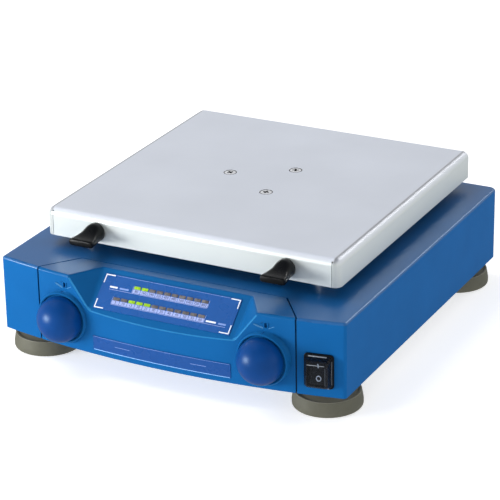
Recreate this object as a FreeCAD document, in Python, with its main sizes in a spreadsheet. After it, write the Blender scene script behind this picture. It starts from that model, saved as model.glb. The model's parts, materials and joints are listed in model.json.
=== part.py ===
import FreeCAD, Part
import math
import os
import re
import Sketcher
from FreeCAD import Placement, Rotation, Vector

# Orbital shaker.  Frame: X to the right, Y to the rear, Z up, millimetres.
# The origin is on the floor under the centre of the bounding box.

SIZES = [
    # housing
    ("housing_width", 270.0, "outer width"),
    ("corner_y", -122.0, "Y of the two front corners"),
    ("rear_y", 150.0, "Y of the rear wall"),
    ("front_bow", 14.0, "how far the middle of the front bows out"),
    ("housing_bottom", 16.5, "Z of the lower edge"),
    ("housing_top", 72.0, "Z of the top face"),
    ("wall", 2.5, "shell wall"),
    ("front_corner_round", 2.5, "front vertical corner radius"),
    ("rear_corner_round", 6.0, "rear vertical corner radius"),
    ("top_edge_round", 2.0, "radius of the top edges"),
    ("boss_radius", 4.0, "screw boss radius"),
    ("boss_x", 122.0, "screw boss X"),
    ("boss_front_y", -60.0, "front screw boss Y"),
    ("boss_rear_y", 90.0, "rear screw boss Y"),
    ("shaft_opening", 20.0, "radius of the opening round the main shaft"),
    ("post_gap", 0.3, "gap round each idler post in the top"),
    ("inner_margin", 1.0, "how far a cutting tool runs past what it cuts"),
    # front panel
    ("seam_gap", 1.2, "gap between shell and panel"),
    ("panel_half", 100.4, "half width of the panel face"),
    ("panel_corner_y", -127.0, "Y where the panel's top corners start to taper"),
    ("panel_rear_half", 80.4, "half width at the rear of its top"),
    ("panel_rear_y", -101.0, "rear edge of its top"),
    ("panel_wall", 3.0, "panel wall"),
    ("panel_hollow_front", -124.5, "front of the upper hollow"),
    ("panel_lower_hollow_top", 43.0, "top of the lower hollow"),
    ("bay_rear_y", -108.0, "rear edge of the display bay"),
    ("bay_front_y", -136.0, "front lip of the display bay"),
    ("bay_lip_z", 47.0, "Z of the front lip"),
    ("bay_rear_half", 59.0, "half width of the bay floor at the rear"),
    ("bay_narrowing", 0.0785, "floor half width lost per mm towards the front"),
    ("bay_flare", 0.817, "how far the bay sides lean out per mm of height"),
    ("bay_round", 4.0, "radius along the bay floor's sides"),
    ("knob_x", 78.8, "knob axis X, left and right"),
    ("knob_z", 39.9, "knob axis Z"),
    ("collar_radius", 19.2, "round boss behind each knob"),
    ("collar_face_y", -135.7, "front face of the boss"),
    ("collar_recess", 1.5, "depth of the recess the knob sits in"),
    ("collar_clear", 0.7, "gap between the knob and the recess"),
    ("collar_bevel", 0.8, "bevel round the boss"),
    ("shaft_way", 3.6, "radius of the hole for a control shaft"),
    ("shaft_way_depth", 20.0, "length of that hole"),
    ("bay_head_room", 6.0, "how far the bay is cut on above the top face"),
    ("bay_run_out", 14.0, "how far the bay is cut on in front of the lip"),
    # display
    ("label_x", -1.2, "label centre X"),
    ("label_slope", 17.9, "label centre, down the slope"),
    ("label_width", 107.0, "label width"),
    ("label_height", 27.4, "label height"),
    ("label_thick", 0.5, "label thickness"),
    ("lamp_thick", 0.4, "indicator window thickness"),
    ("lamp_height", 2.2, "indicator window height"),
    ("lamp_gap", 1.1, "gap between two windows"),
    ("speed_row_left", -29.8, "left end of the speed row"),
    ("speed_row_slope", 11.1, "speed row, down the slope"),
    ("speed_pitch", 5.92, "pitch of the speed windows"),
    ("timer_row_left", -42.3, "left end of the timer row"),
    ("timer_row_slope", 22.0, "timer row, down the slope"),
    ("timer_pitch", 6.08, "pitch of the timer windows"),
    ("nameplate_half", 54.2, "half width of the nameplate strip"),
    ("nameplate_low", 20.3, "lower edge of the nameplate strip"),
    ("nameplate_high", 31.1, "upper edge of the nameplate strip"),
    ("nameplate_thick", 0.4, "thickness of the nameplate strip"),
    # knobs
    ("knob_radius", 16.6, "knob radius"),
    ("knob_back_y", -134.9, "back face of the knobs"),
    ("knob_skirt", 2.6, "straight part of the knob"),
    ("knob_length", 18.0, "knob length"),
    ("shaft_radius", 3.0, "control shaft radius"),
    ("shaft_grip", 12.0, "how far the shaft reaches into the knob"),
    ("shaft_rear_y", -124.0, "rear end of the control shaft"),
    ("pot_side", 17.0, "side of the square potentiometer case"),
    ("pot_depth", 8.0, "depth of the potentiometer case"),
    ("pot_y", -120.2, "middle of the potentiometer case"),
    ("pot_sleeve_radius", 3.5, "radius of its threaded sleeve"),
    ("pot_sleeve_rear_y", -120.0, "rear end of the sleeve"),
    ("pot_sleeve_length", 13.5, "length of the sleeve"),
    ("pot_bore_rear_y", -121.5, "rear end of the sleeve's bore"),
    ("pot_clear", 0.05, "running clearance of the shaft in the sleeve"),
    ("board_thick", 1.6, "thickness of the circuit boards"),
    ("control_board_width", 176.0, "width of the board behind the panel"),
    ("control_board_height", 34.0, "its height"),
    ("control_board_y", -115.2, "its Y"),
    ("control_board_low", 21.0, "Z of its lower edge"),
    # switch
    ("switch_x", 117.0, "switch centre X"),
    ("switch_z", 35.6, "switch centre Z"),
    ("switch_width", 20.8, "frame width"),
    ("switch_height", 25.4, "frame height"),
    ("switch_flange", 1.6, "frame flange thickness"),
    ("switch_corner", 2.4, "corner radius of the frame"),
    ("switch_edge", 0.6, "radius of the frame's front edge"),
    ("switch_hole_width", 18.8, "width of the hole in the housing"),
    ("switch_hole_height", 22.4, "height of the hole in the housing"),
    ("switch_body_width", 17.2, "width of the body behind the flange"),
    ("switch_body_height", 21.2, "height of that body"),
    ("switch_body_depth", 18.0, "depth of that body"),
    ("rocker_well", 11.0, "depth of the well the rocker sits in"),
    ("rocker_play", 0.5, "gap round the rocker in its well"),
    ("rocker_width", 12.6, "rocker width"),
    ("rocker_height", 18.6, "rocker height"),
    ("rocker_tilt", 7.0, "rocker tilt at rest"),
    ("rocker_rise", 3.6, "how far the rocker's ends stand out of its axis"),
    ("rocker_dish", 2.0, "depth of the dish in the rocker's face"),
    ("rocker_flank", 4.0, "depth of the rocker's flanks behind its axis"),
    ("rocker_keel", 7.0, "depth of the rocker's keel behind its axis"),
    ("rocker_keel_half", 2.0, "half height of the keel"),
    ("trunnion_radius", 1.1, "radius of the pins the rocker tilts on"),
    ("trunnion_reach", 1.0, "how far the pins stand out of the rocker"),
    ("trunnion_clear", 0.05, "running clearance of the pins"),
    ("boot_depth", 8.2, "how far the boot stands out"),
    ("boot_wall", 0.9, "boot wall"),
    ("boot_lap", 1.2, "width of the frame left outside the boot"),
    ("boot_tip_width", 15.2, "width of the boot's outer end"),
    ("boot_tip_height", 19.0, "height of the boot's outer end"),
    ("boot_round", 2.0, "radius of the boot's edges"),
    # feet and base
    ("foot_x", 112.0, "foot X, left and right"),
    ("foot_front_y", -102.0, "front feet Y"),
    ("foot_rear_y", 126.0, "rear feet Y"),
    ("foot_radius", 24.7, "foot radius near the floor"),
    ("foot_rim_radius", 23.6, "foot radius at the rim"),
    ("foot_rim_z", 11.2, "Z of the rim"),
    ("foot_hub_radius", 12.0, "hub inside the foot"),
    ("foot_screw_radius", 2.2, "foot screw radius"),
    ("foot_screw_head", 4.2, "foot screw head radius"),
    ("foot_screw_well", 6.0, "radius of the well for the screw head"),
    ("foot_screw_seat", 5.0, "Z of the seat of the screw head"),
    ("foot_web_z", 6.0, "Z of the top of the web between hub and rim"),
    ("case_screw_radius", 1.6, "radius of the small screws in the base plate"),
    ("case_screw_head", 3.2, "head radius of the base screws"),
    ("case_head_height", 1.8, "head height of the small screws"),
    ("case_slot", 0.9, "width and depth of their cross slot"),
    ("case_slot_length", 5.0, "length of the cross slot"),
    ("base_thick", 2.0, "base plate thickness"),
    ("base_half", 132.0, "half width of the base plate"),
    ("base_tab_x", 102.6, "inner edge of the base plate's front tabs"),
    ("base_tab_y", -119.0, "front edge of the tabs"),
    ("base_front_y", -99.5, "front edge between the tabs"),
    ("base_rear_y", 147.0, "rear edge of the base plate"),
    ("base_corner", 3.0, "radius of its rear corners"),
    # orbit drive
    ("axis_y", 26.0, "Y of the drive axis, X is 0"),
    ("pin_dx", -1.2, "eccentric pin offset in X at rest"),
    ("pin_dy", 1.6, "eccentric pin offset in Y at rest"),
    ("drive_shaft_radius", 7.5, "main shaft and pin radius"),
    ("bearing_radius", 16.0, "main bearing outer radius"),
    ("bearing_width", 9.0, "main bearing width"),
    ("lower_bearing_z", 26.0, "lower bearing Z"),
    ("upper_bearing_z", 40.0, "upper bearing Z"),
    ("pin_bearing_radius", 17.5, "pin bearing outer radius"),
    ("pin_bearing_width", 11.0, "pin bearing width"),
    ("pin_bearing_z", 76.0, "pin bearing Z"),
    ("race_thick", 2.3, "thickness of a bearing ring"),
    ("pulley_low", 51.0, "underside of the pulleys"),
    ("pulley_high", 63.0, "top of the pulleys"),
    ("flange_thick", 1.4, "pulley flange thickness"),
    ("flange_rise", 3.4, "pulley flange height"),
    ("drive_pulley_radius", 38.7, "running radius of the drive pulley"),
    ("motor_pulley_radius", 8.7, "running radius of the motor pulley"),
    ("belt_clear", 0.3, "gap under the belt"),
    ("belt_thick", 2.0, "belt thickness"),
    ("belt_width", 8.0, "belt width"),
    ("collar_top", 74.5, "top of the shaft's shoulder"),
    ("shoulder_radius", 12.0, "radius of the shaft's shoulder"),
    ("pin_top", 92.0, "top of the eccentric pin"),
    ("drive_shaft_low", 22.0, "lower end of the main shaft"),
    ("weight_thick", 5.5, "thickness of the counterweight"),
    ("seal_gap", 0.3, "gap between the seal and the shaft's shoulder"),
    ("seal_height", 4.0, "height of the seal"),
    ("motor_x", -62.0, "motor X"),
    ("motor_y", 84.0, "motor Y"),
    ("motor_radius", 28.0, "motor case radius"),
    ("motor_shaft_radius", 3.0, "motor shaft radius"),
    ("motor_screw_ring", 20.0, "radius of the motor screw circle"),
    ("motor_screw_head", 3.0, "head radius of the motor screws"),
    ("motor_case_low", 22.5, "underside of the motor case"),
    ("motor_case_height", 27.5, "height of the motor case"),
    ("motor_case_wall", 3.0, "wall of the motor case"),
    ("motor_case_end", 2.0, "thickness of its lower end"),
    ("bracket_radius", 32.0, "motor bracket radius"),
    ("bracket_thick", 4.0, "motor bracket thickness"),
    ("stator_inner", 18.0, "stator bore radius"),
    ("stator_low", 30.0, "underside of the stator"),
    ("stator_height", 14.0, "height of the stator"),
    ("rotor_radius", 17.0, "rotor radius"),
    ("rotor_low", 29.0, "underside of the rotor"),
    ("rotor_height", 16.0, "height of the rotor"),
    ("motor_shaft_low", 26.0, "lower end of the motor shaft"),
    ("motor_shaft_length", 39.0, "length of the motor shaft"),
    # idlers
    ("guide_x", 92.0, "idler spacing in X from the drive axis"),
    ("guide_y", 88.0, "idler spacing in Y from the drive axis"),
    ("post_radius", 9.0, "idler post radius"),
    ("post_top", 74.0, "top of the idler posts"),
    ("journal_radius", 4.0, "idler journal radius"),
    ("journal_clear", 0.05, "running clearance of the journal"),
    ("guide_pin_radius", 3.0, "idler pin radius"),
    ("guide_clear", 0.3, "clearance of the opened pivot"),
    ("guide_bush_radius", 6.0, "outer radius of the guide bushes"),
    ("post_bore_depth", 29.0, "depth of the bore in a post"),
    ("journal_depth", 27.5, "how far the journal reaches into the post"),
    ("crank_gap", 0.5, "gap between a post and its crank"),
    ("crank_thick", 3.5, "thickness of the crank's web"),
    ("guide_pin_length", 12.0, "length of the idler pin"),
    # platform
    ("tray_width", 231.5, "tray width, centred on the pin"),
    ("tray_depth", 233.8, "tray depth"),
    ("tray_y", 28.0, "tray centre Y"),
    ("tray_top", 100.5, "Z of the tray's top face"),
    ("tray_apron_z", 80.0, "Z of the apron's lower edge"),
    ("tray_thick", 1.5, "sheet thickness"),
    ("tray_bend", 5.2, "bend radius along the top edges"),
    ("tray_corner", 5.5, "vertical corner radius"),
    ("apron_seam_x", 110.2, "apron seams, from the tray's centre line"),
    ("apron_seam_gap", 0.5, "width of the apron seams"),
    ("relief_radius", 0.6, "relief hole at the end of the seam"),
    ("relief_z", 98.2, "Z of the relief hole"),
    ("screw_ring", 28.0, "radius of the tray screw circle"),
    ("screw_head", 5.0, "tray screw head radius"),
    ("screw_radius", 2.5, "tray screw radius"),
    ("screw_shank", 11.0, "length of the tray screw's shank"),
    ("screw_slot", 1.0, "width of its cross slot"),
    ("screw_slot_length", 5.2, "length of its cross slot"),
    ("screw_slot_depth", 1.5, "depth of its cross slot"),
    ("screw_play", 0.1, "gap round a countersunk head"),
    ("carrier_thick", 6.0, "carrier plate thickness"),
    ("carrier_width", 202.0, "carrier plate width"),
    ("carrier_depth", 196.0, "carrier plate depth"),
    ("hub_radius", 38.0, "carrier hub radius"),
    ("hub_bottom", 75.5, "underside of the carrier hub"),
    ("carrier_corner", 12.0, "corner radius of the carrier plate"),
    ("carrier_ledge", 4.5, "ledge above the pin bearing"),
    ("carrier_hole", 17.0, "radius of the lightening holes"),
    ("carrier_hole_ring", 66.0, "radius of their circle"),
    ("screw_hole_depth", 16.0, "depth of the threaded holes in the carrier"),
    ("lock_x", 75.2, "locking knob X, left and right"),
    ("lock_z", 88.8, "locking knob Z"),
    ("lock_hub_radius", 7.4, "locking knob hub radius"),
    ("lock_reach", 23.0, "how far the locking knob stands out"),
    ("lock_wing_width", 18.0, "width of the wing's end"),
    ("lock_wing_thick", 5.6, "thickness of the wing's end"),
    ("lock_hub_length", 4.8, "length of the hub"),
    ("lock_gap", 0.2, "gap between the hub and the apron"),
    ("lock_stud_radius", 3.0, "stud radius"),
    ("lock_stud_length", 8.8, "how far the stud reaches behind the apron"),
    ("lock_hole_radius", 3.2, "radius of the hole in the apron"),
    ("lock_nut_radius", 5.8, "corner radius of the nut"),
    ("lock_nut_thick", 4.0, "thickness of the nut"),
    ("lock_nut_bore", 3.05, "radius of the nut's bore"),
    # mains inlet
    ("inlet_x", -85.0, "inlet centre X"),
    ("inlet_z", 45.0, "inlet centre Z"),
    ("inlet_flange_width", 50.0, "inlet flange width"),
    ("inlet_flange_height", 36.0, "inlet flange height"),
    ("inlet_flange_thick", 2.0, "inlet flange thickness"),
    ("inlet_body_width", 28.0, "inlet body width"),
    ("inlet_body_height", 33.0, "inlet body height"),
    ("inlet_body_depth", 26.0, "inlet body depth"),
    ("inlet_play", 0.3, "gap round the inlet body in its hole"),
    ("socket_half", 12.0, "half width of the socket"),
    ("socket_low", -3.5, "lower edge of the socket below the centre"),
    ("socket_shoulder", 8.0, "height at which the socket's corners slope"),
    ("socket_high", 13.0, "upper edge of the socket"),
    ("socket_top_half", 7.0, "half width of that upper edge"),
    ("socket_depth", 16.0, "depth of the socket in the body"),
    ("drawer_down", 10.0, "fuse drawer axis below the inlet centre"),
    ("drawer_width", 24.0, "fuse drawer width"),
    ("drawer_height", 8.4, "fuse drawer height"),
    ("drawer_play", 0.3, "gap round the fuse drawer"),
    ("drawer_depth", 22.9, "fuse drawer depth"),
    ("drawer_front", 2.9, "how far its face stands behind the rear wall"),
    ("drawer_well", 22.0, "depth of the drawer's well in the body"),
    ("flange_hole_x", 20.0, "spacing of the flange holes from the centre"),
    ("flange_hole_radius", 1.7, "radius of the flange holes"),
    ("fuse_x", 5.8, "spacing of the fuses from the centre"),
    ("fuse_radius", 2.5, "fuse radius"),
    ("fuse_length", 18.0, "fuse length"),
    # mains board
    ("power_x", 59.0, "mains board X"),
    ("power_y", 101.0, "mains board Y"),
    ("power_z", 26.0, "underside of the mains board"),
    ("power_width", 42.0, "mains board width"),
    ("power_depth", 80.0, "mains board depth"),
    ("standoff_radius", 3.0, "standoff radius"),
    ("standoff_x", 17.0, "standoff spacing in X from the board's centre"),
    ("standoff_y", 36.0, "standoff spacing in Y from the board's centre"),
    ("transformer_y", 84.0, "transformer Y"),
    ("core_width", 34.0, "transformer core width"),
    ("core_depth", 30.0, "transformer core depth"),
    ("core_height", 8.0, "transformer core height"),
    ("core_rise", 10.0, "core height above the board"),
    ("bobbin_width", 24.0, "bobbin width"),
    ("bobbin_depth", 36.0, "bobbin depth"),
    ("bobbin_height", 26.0, "bobbin height"),
    ("capacitor_radius", 8.0, "capacitor radius"),
    ("capacitor_height", 24.0, "capacitor height"),
    ("capacitor_x", 11.0, "capacitor spacing from the board's centre"),
    ("capacitor_y", 124.0, "capacitor Y"),
]
ALIASES = {alias for alias, _value, _note in SIZES}

doc = FreeCAD.newDocument("OrbitalShaker")
subparts = []


def make_sheet():
    """Fill the spreadsheet with the driving dimensions."""
    sheet = doc.addObject("Spreadsheet::Sheet", "Sizes")
    for row, (alias, number, note) in enumerate(SIZES, start=1):
        sheet.set(f"A{row}", note)
        sheet.set(f"B{row}", str(number))
        sheet.setAlias(f"B{row}", alias)
    doc.recompute()
    return sheet


sheet = make_sheet()


# ---------------------------------------------------------------- helpers

def full(expression):
    """Turn the alias words of an expression into references to the sheet."""
    return re.sub(r"[a-z_]+", lambda word: "Sizes." + word.group()
                  if word.group() in ALIASES else word.group(), str(expression))


def value(expression):
    """Number that an expression of alias words gives."""
    return float(sheet.evalExpression(full(expression)))


def keep(thing, label):
    """Name a finished sub-part and put it on the list to be written."""
    thing.Label = label
    subparts.append(thing)
    return thing


def new_body(label):
    body = doc.addObject("PartDesign::Body", label)
    return keep(body, label)


def new_sketch(body, role, offset="0"):
    """Sketch on one of the body's own origin planes, moved along its normal."""
    sketch = body.newObject("Sketcher::SketchObject", body.Name + "_sketch")
    plane = next(p for p in body.Origin.OriginFeatures if p.Role == role)
    sketch.AttachmentSupport = [(plane, "")]
    sketch.MapMode = "FlatFace"
    sketch.setExpression("AttachmentOffset.Base.z", full(offset))
    return sketch


def fix(sketch, kind, where, expression):
    """Add a dimension whose size follows an expression."""
    index = sketch.addConstraint(Sketcher.Constraint(kind, *where, value(expression)))
    sketch.setExpression(f"Constraints[{index}]", full(expression))


def outline(sketch, points, arcs=None):
    """Closed outline through points; arcs maps a side to (middle point, radius)."""
    arcs = arcs or {}
    first = sketch.GeometryCount
    corners = [Vector(value(x), value(y), 0) for x, y in points]
    count = len(corners)
    for side in range(count):
        start = corners[side]
        end = corners[(side + 1) % count]
        if side in arcs:
            middle = Vector(*(value(c) for c in arcs[side][0]), 0)
            sketch.addGeometry(Part.Arc(start, middle, end), False)
        else:
            sketch.addGeometry(Part.LineSegment(start, end), False)
    for side in range(count):
        # an arc is stored counter-clockwise, so its ends may be swapped
        tail = end_towards(sketch, first + side, corners[(side + 1) % count])
        head = end_towards(sketch, first + (side + 1) % count, corners[(side + 1) % count])
        sketch.addConstraint(Sketcher.Constraint(
            "Coincident", first + side, tail, first + (side + 1) % count, head))
    for side, (x, y) in enumerate(points):
        spot = end_towards(sketch, first + side, corners[side])
        fix(sketch, "DistanceX", (-1, 1, first + side, spot), x)
        fix(sketch, "DistanceY", (-1, 1, first + side, spot), y)
    for side, (_middle, radius) in arcs.items():
        fix(sketch, "Radius", (first + side,), radius)


def end_towards(sketch, geometry, point):
    """1 if the edge's start lies at the point, 2 if its end does."""
    start = sketch.getPoint(geometry, 1)
    end = sketch.getPoint(geometry, 2)
    return 1 if start.distanceToPoint(point) < end.distanceToPoint(point) else 2


def rectangle(sketch, x, y, width, height):
    """Rectangle about the centre (x, y)."""
    left = f"({x}) - ({width}) / 2"
    right = f"({x}) + ({width}) / 2"
    low = f"({y}) - ({height}) / 2"
    high = f"({y}) + ({height}) / 2"
    outline(sketch, [(left, low), (right, low), (right, high), (left, high)])


def circle(sketch, x, y, radius):
    centre = Vector(value(x), value(y), 0)
    index = sketch.addGeometry(Part.Circle(centre, Vector(0, 0, 1), value(radius)), False)
    fix(sketch, "Radius", (index,), radius)
    fix(sketch, "DistanceX", (-1, 1, index, 3), x)
    fix(sketch, "DistanceY", (-1, 1, index, 3), y)


def pad(body, sketch, length, reverse=False, middle=False):
    """Add material along the sketch's normal, against it, or both ways."""
    feature = body.newObject("PartDesign::Pad", body.Name + "_pad")
    feature.Profile = sketch
    feature.setExpression("Length", full(length))
    feature.Reversed = reverse
    if middle:
        feature.SideType = "Symmetric"
    doc.recompute()
    return feature


def pocket(body, sketch, length, reverse=False, middle=False, taper=0.0):
    """Cut against the sketch's normal, along it if reversed, or both ways."""
    before = body.Shape.Volume
    feature = body.newObject("PartDesign::Pocket", body.Name + "_pocket")
    feature.Profile = sketch
    feature.setExpression("Length", full(length))
    feature.Reversed = reverse
    feature.TaperAngle = taper
    if middle:
        feature.SideType = "Symmetric"
    doc.recompute()
    if body.Shape.Volume > before - 0.01:
        raise RuntimeError(feature.Name + " cuts nothing")
    return feature


def revolve(body, sketch):
    """Turn the sketch about its own vertical axis."""
    feature = body.newObject("PartDesign::Revolution", body.Name + "_turn")
    feature.Profile = sketch
    feature.ReferenceAxis = (sketch, ["V_Axis"])
    feature.Angle = 360
    doc.recompute()
    return feature


def dress(body, kind, size_property, size, chosen):
    """Fillet or chamfer the edges that the test picks."""
    base = body.Tip
    edges = [f"Edge{i}" for i, edge in enumerate(body.Shape.Edges, start=1) if chosen(edge)]
    feature = body.newObject("PartDesign::" + kind, body.Name + "_" + kind.lower())
    feature.Base = (base, edges)
    feature.setExpression(size_property, full(size))
    doc.recompute()
    return feature


def fillet(body, radius, chosen):
    return dress(body, "Fillet", "Radius", radius, chosen)


def chamfer(body, size, chosen):
    return dress(body, "Chamfer", "Size", size, chosen)


def box_of(edge):
    return edge.BoundBox


def upright(edge):
    """True for a straight vertical edge."""
    return box_of(edge).ZLength > 1 and box_of(edge).XLength + box_of(edge).YLength < 0.01


def level_at(edge, z):
    """True for an edge that lies at one height."""
    return abs(box_of(edge).ZMin - z) < 0.01 and abs(box_of(edge).ZMax - z) < 0.01


def place(thing, x=0, y=0, z=0):
    """Bind a sub-part's position to expressions."""
    for axis, expression in zip("xyz", (x, y, z)):
        if str(expression) != "0":
            thing.setExpression(f"Placement.Base.{axis}", full(expression))


def cylinder(radius, length, x=0, y=0, z=0, axis="Z"):
    """Cylinder that starts at (x, y, z) and runs along +Z or -Y."""
    thing = doc.addObject("Part::Cylinder", "Cylinder")
    if axis == "-Y":
        thing.Placement = Placement(Vector(), Rotation(Vector(1, 0, 0), 90))
    thing.setExpression("Radius", full(radius))
    thing.setExpression("Height", full(length))
    place(thing, x, y, z)
    return thing


def block(width, depth, height, x, y, z):
    """Box centred on (x, y), standing on z."""
    thing = doc.addObject("Part::Box", "Box")
    thing.setExpression("Length", full(width))
    thing.setExpression("Width", full(depth))
    thing.setExpression("Height", full(height))
    place(thing, f"({x}) - ({width}) / 2", f"({y}) - ({depth}) / 2", z)
    return thing


def cone(low_radius, high_radius, height, x, y, z):
    thing = doc.addObject("Part::Cone", "Cone")
    thing.setExpression("Radius1", full(low_radius))
    thing.setExpression("Radius2", full(high_radius))
    thing.setExpression("Height", full(height))
    place(thing, x, y, z)
    return thing


def fuse(*things):
    joined = doc.addObject("Part::MultiFuse", "Fusion")
    joined.Shapes = list(things)
    return joined


def cut(base, *tools):
    """Base with the tools taken away."""
    result = doc.addObject("Part::Cut", "Cut")
    result.Base = base
    result.Tool = tools[0] if len(tools) == 1 else fuse(*tools)
    return result


def group(things):
    """Several separate solids in one node."""
    together = doc.addObject("Part::Compound", "Group")
    together.Links = list(things)
    return together


def spots_on_circle(count, radius, first_angle):
    """Expressions for points spaced evenly on a circle about the origin."""
    step = 360 / count
    return [(f"{radius} * cos({first_angle + step * i})", f"{radius} * sin({first_angle + step * i})")
            for i in range(count)]


def ring(inner, outer, height, x, y, z):
    return cut(cylinder(outer, height, x, y, z), cylinder(inner, height, x, y, z))


# ---------------------------------------------------------------- shared outlines

BOW_RADIUS = "((housing_width / 2)^2 + front_bow^2) / (2 * front_bow)"
BOW_CENTRE_Y = f"corner_y - front_bow + {BOW_RADIUS}"


def bow_y(x, inset="0"):
    """Y of the bowed front, moved in by the inset, at X."""
    return f"{BOW_CENTRE_Y} - sqrt(({BOW_RADIUS} - ({inset}))^2 - ({x})^2)"


def bowed_outline(sketch, half, inset, rear):
    """Outline with the bowed front, straight sides and a straight rear."""
    side_y = bow_y(half, inset)
    points = [(f"-({half})", side_y), (half, side_y), (half, rear), (f"-({half})", rear)]
    middle = ("0", bow_y("0", inset))
    outline(sketch, points, {0: (middle, f"{BOW_RADIUS} - ({inset})")})


# ---------------------------------------------------------------- housing

def make_housing_shell():
    """Painted cover: bowed box, open underneath, with a notch for the front panel."""
    body = new_body("housing_shell")
    sketch = new_sketch(body, "XY_Plane", "housing_bottom")
    bowed_outline(sketch, "housing_width / 2", "0", "rear_y")
    pad(body, sketch, "housing_top - housing_bottom")
    fillet(body, "front_corner_round", lambda e: upright(e) and box_of(e).YMin < 0)
    fillet(body, "rear_corner_round", lambda e: upright(e) and box_of(e).YMin > 0
           and abs(box_of(e).YMin - value("rear_y")) < 0.01)
    fillet(body, "top_edge_round", lambda e: level_at(e, value("housing_top")))

    sketch = new_sketch(body, "XY_Plane", "housing_bottom")
    bowed_outline(sketch, "housing_width / 2 - wall", "wall", "rear_y - wall")
    pocket(body, sketch, "housing_top - housing_bottom - wall", reverse=True)

    sketch = new_sketch(body, "XY_Plane", "housing_top - wall")
    for x in ("boss_x", "-boss_x"):
        for y in ("boss_front_y", "boss_rear_y"):
            circle(sketch, x, y, "boss_radius")
    pad(body, sketch, "housing_top - wall - housing_bottom - base_thick", reverse=True)

    sketch = new_sketch(body, "XY_Plane", "housing_bottom")
    side = "panel_half + seam_gap"
    rear_half = "panel_rear_half + seam_gap"
    rear = "panel_rear_y + seam_gap / 2"
    front = "corner_y - front_bow - inner_margin"
    outline(sketch, [(f"-({side})", front), (side, front), (side, "panel_corner_y"),
                     (rear_half, rear), (f"-({rear_half})", rear), (f"-({side})", "panel_corner_y")])
    pocket(body, sketch, "housing_top", reverse=True)

    sketch = new_sketch(body, "XY_Plane", "housing_top")
    circle(sketch, "0", "axis_y", "shaft_opening")
    for x in ("guide_x", "-guide_x"):
        for y in ("axis_y + guide_y", "axis_y - guide_y"):
            circle(sketch, x, y, "post_radius + post_gap")
    pocket(body, sketch, "wall + inner_margin")

    # openings for the switch and the mains inlet: XZ sketches look along -Y
    sketch = new_sketch(body, "XZ_Plane", "-corner_y + front_bow")
    rectangle(sketch, "switch_x", "switch_z", "switch_hole_width", "switch_hole_height")
    pocket(body, sketch, "front_bow + wall + 4")
    sketch = new_sketch(body, "XZ_Plane", "-rear_y")
    rectangle(sketch, "inlet_x", "inlet_z", "inlet_body_width", "inlet_body_height")
    pocket(body, sketch, "wall + inner_margin", reverse=True)


def make_front_panel():
    """Painted front insert with the sunken display bay and two knob bosses."""
    body = new_body("front_panel")
    sketch = new_sketch(body, "XY_Plane", "housing_bottom")
    side_y = bow_y("panel_half")
    points = [("-panel_half", side_y), ("panel_half", side_y), ("panel_half", "panel_corner_y"),
              ("panel_rear_half", "panel_rear_y"), ("-panel_rear_half", "panel_rear_y"),
              ("-panel_half", "panel_corner_y")]
    outline(sketch, points, {0: (("0", bow_y("0")), BOW_RADIUS)})
    pad(body, sketch, "housing_top - housing_bottom")

    sketch = new_sketch(body, "XZ_Plane", "-panel_hollow_front")
    for x in ("knob_x", "-knob_x"):
        circle(sketch, x, "knob_z", "collar_radius")
    pad(body, sketch, "panel_hollow_front - collar_face_y")
    sketch = new_sketch(body, "XZ_Plane", "-collar_face_y")
    for x in ("knob_x", "-knob_x"):
        circle(sketch, x, "knob_z", "knob_radius + collar_clear")
    pocket(body, sketch, "collar_recess")
    chamfer(body, "collar_bevel", lambda e: box_of(e).YLength < 0.01
            and abs(box_of(e).YMin - value("collar_face_y")) < 0.01)
    fillet(body, "top_edge_round", lambda e: level_at(e, value("housing_top"))
           and box_of(e).YMin < value("corner_y - 10"))

    cut_display_bay(body)

    # hollow behind the bay floor, then a lower one that reaches the front wall
    sketch = new_sketch(body, "YZ_Plane")
    slope = "((housing_top - bay_lip_z) / (bay_rear_y - bay_front_y))"
    skin = "panel_wall * 1.34"
    high = "housing_top - panel_wall"
    floor_z = "housing_bottom + panel_wall"
    outline(sketch, [
        ("panel_hollow_front", floor_z),
        ("panel_hollow_front", f"housing_top - (bay_rear_y - panel_hollow_front) * {slope} - {skin}"),
        (f"bay_rear_y + ({skin} - panel_wall) / {slope}", high),
        ("panel_rear_y + 2", high), ("panel_rear_y + 2", floor_z)])
    pocket(body, sketch, "2 * (panel_half - panel_wall)", middle=True)
    sketch = new_sketch(body, "XY_Plane", "housing_bottom + panel_wall")
    bowed_outline(sketch, "panel_half - panel_wall", "panel_wall", "panel_hollow_front + 1")
    pocket(body, sketch, "panel_lower_hollow_top - housing_bottom - panel_wall", reverse=True)

    sketch = new_sketch(body, "XZ_Plane", "-collar_face_y + inner_margin")
    for x in ("knob_x", "-knob_x"):
        circle(sketch, x, "knob_z", "shaft_way")
    pocket(body, sketch, "shaft_way_depth")


def cut_display_bay(body):
    """Take out the bay: a sloping floor between two sides that lean outwards."""
    slope = "((housing_top - bay_lip_z) / (bay_rear_y - bay_front_y))"
    sections = []
    for reach in ("0.01", "bay_rear_y - bay_front_y + bay_run_out"):
        sketch = new_sketch(body, "XZ_Plane", f"-bay_rear_y + {reach}")
        low = f"housing_top - ({reach}) * {slope}"
        high = "housing_top + bay_head_room"
        foot = f"bay_rear_half - ({reach}) * bay_narrowing"
        head = f"{foot} + ({high} - ({low})) * bay_flare"
        outline(sketch, [(f"-({foot})", low), (foot, low), (head, high), (f"-({head})", high)])
        sections.append(sketch)
    before = body.Shape.Volume
    loft = body.newObject("PartDesign::SubtractiveLoft", "front_panel_bay")
    loft.Profile = sections[0]
    loft.Sections = [sections[1]]
    loft.Ruled = True
    doc.recompute()
    if body.Shape.Volume > before - 1000:
        raise RuntimeError("the display bay cuts nothing")

    def floor_side(edge):
        spread = box_of(edge)
        return spread.YLength > 20 and spread.ZLength > 15 and spread.XLength < 4
    fillet(body, "bay_round", floor_side)


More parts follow.
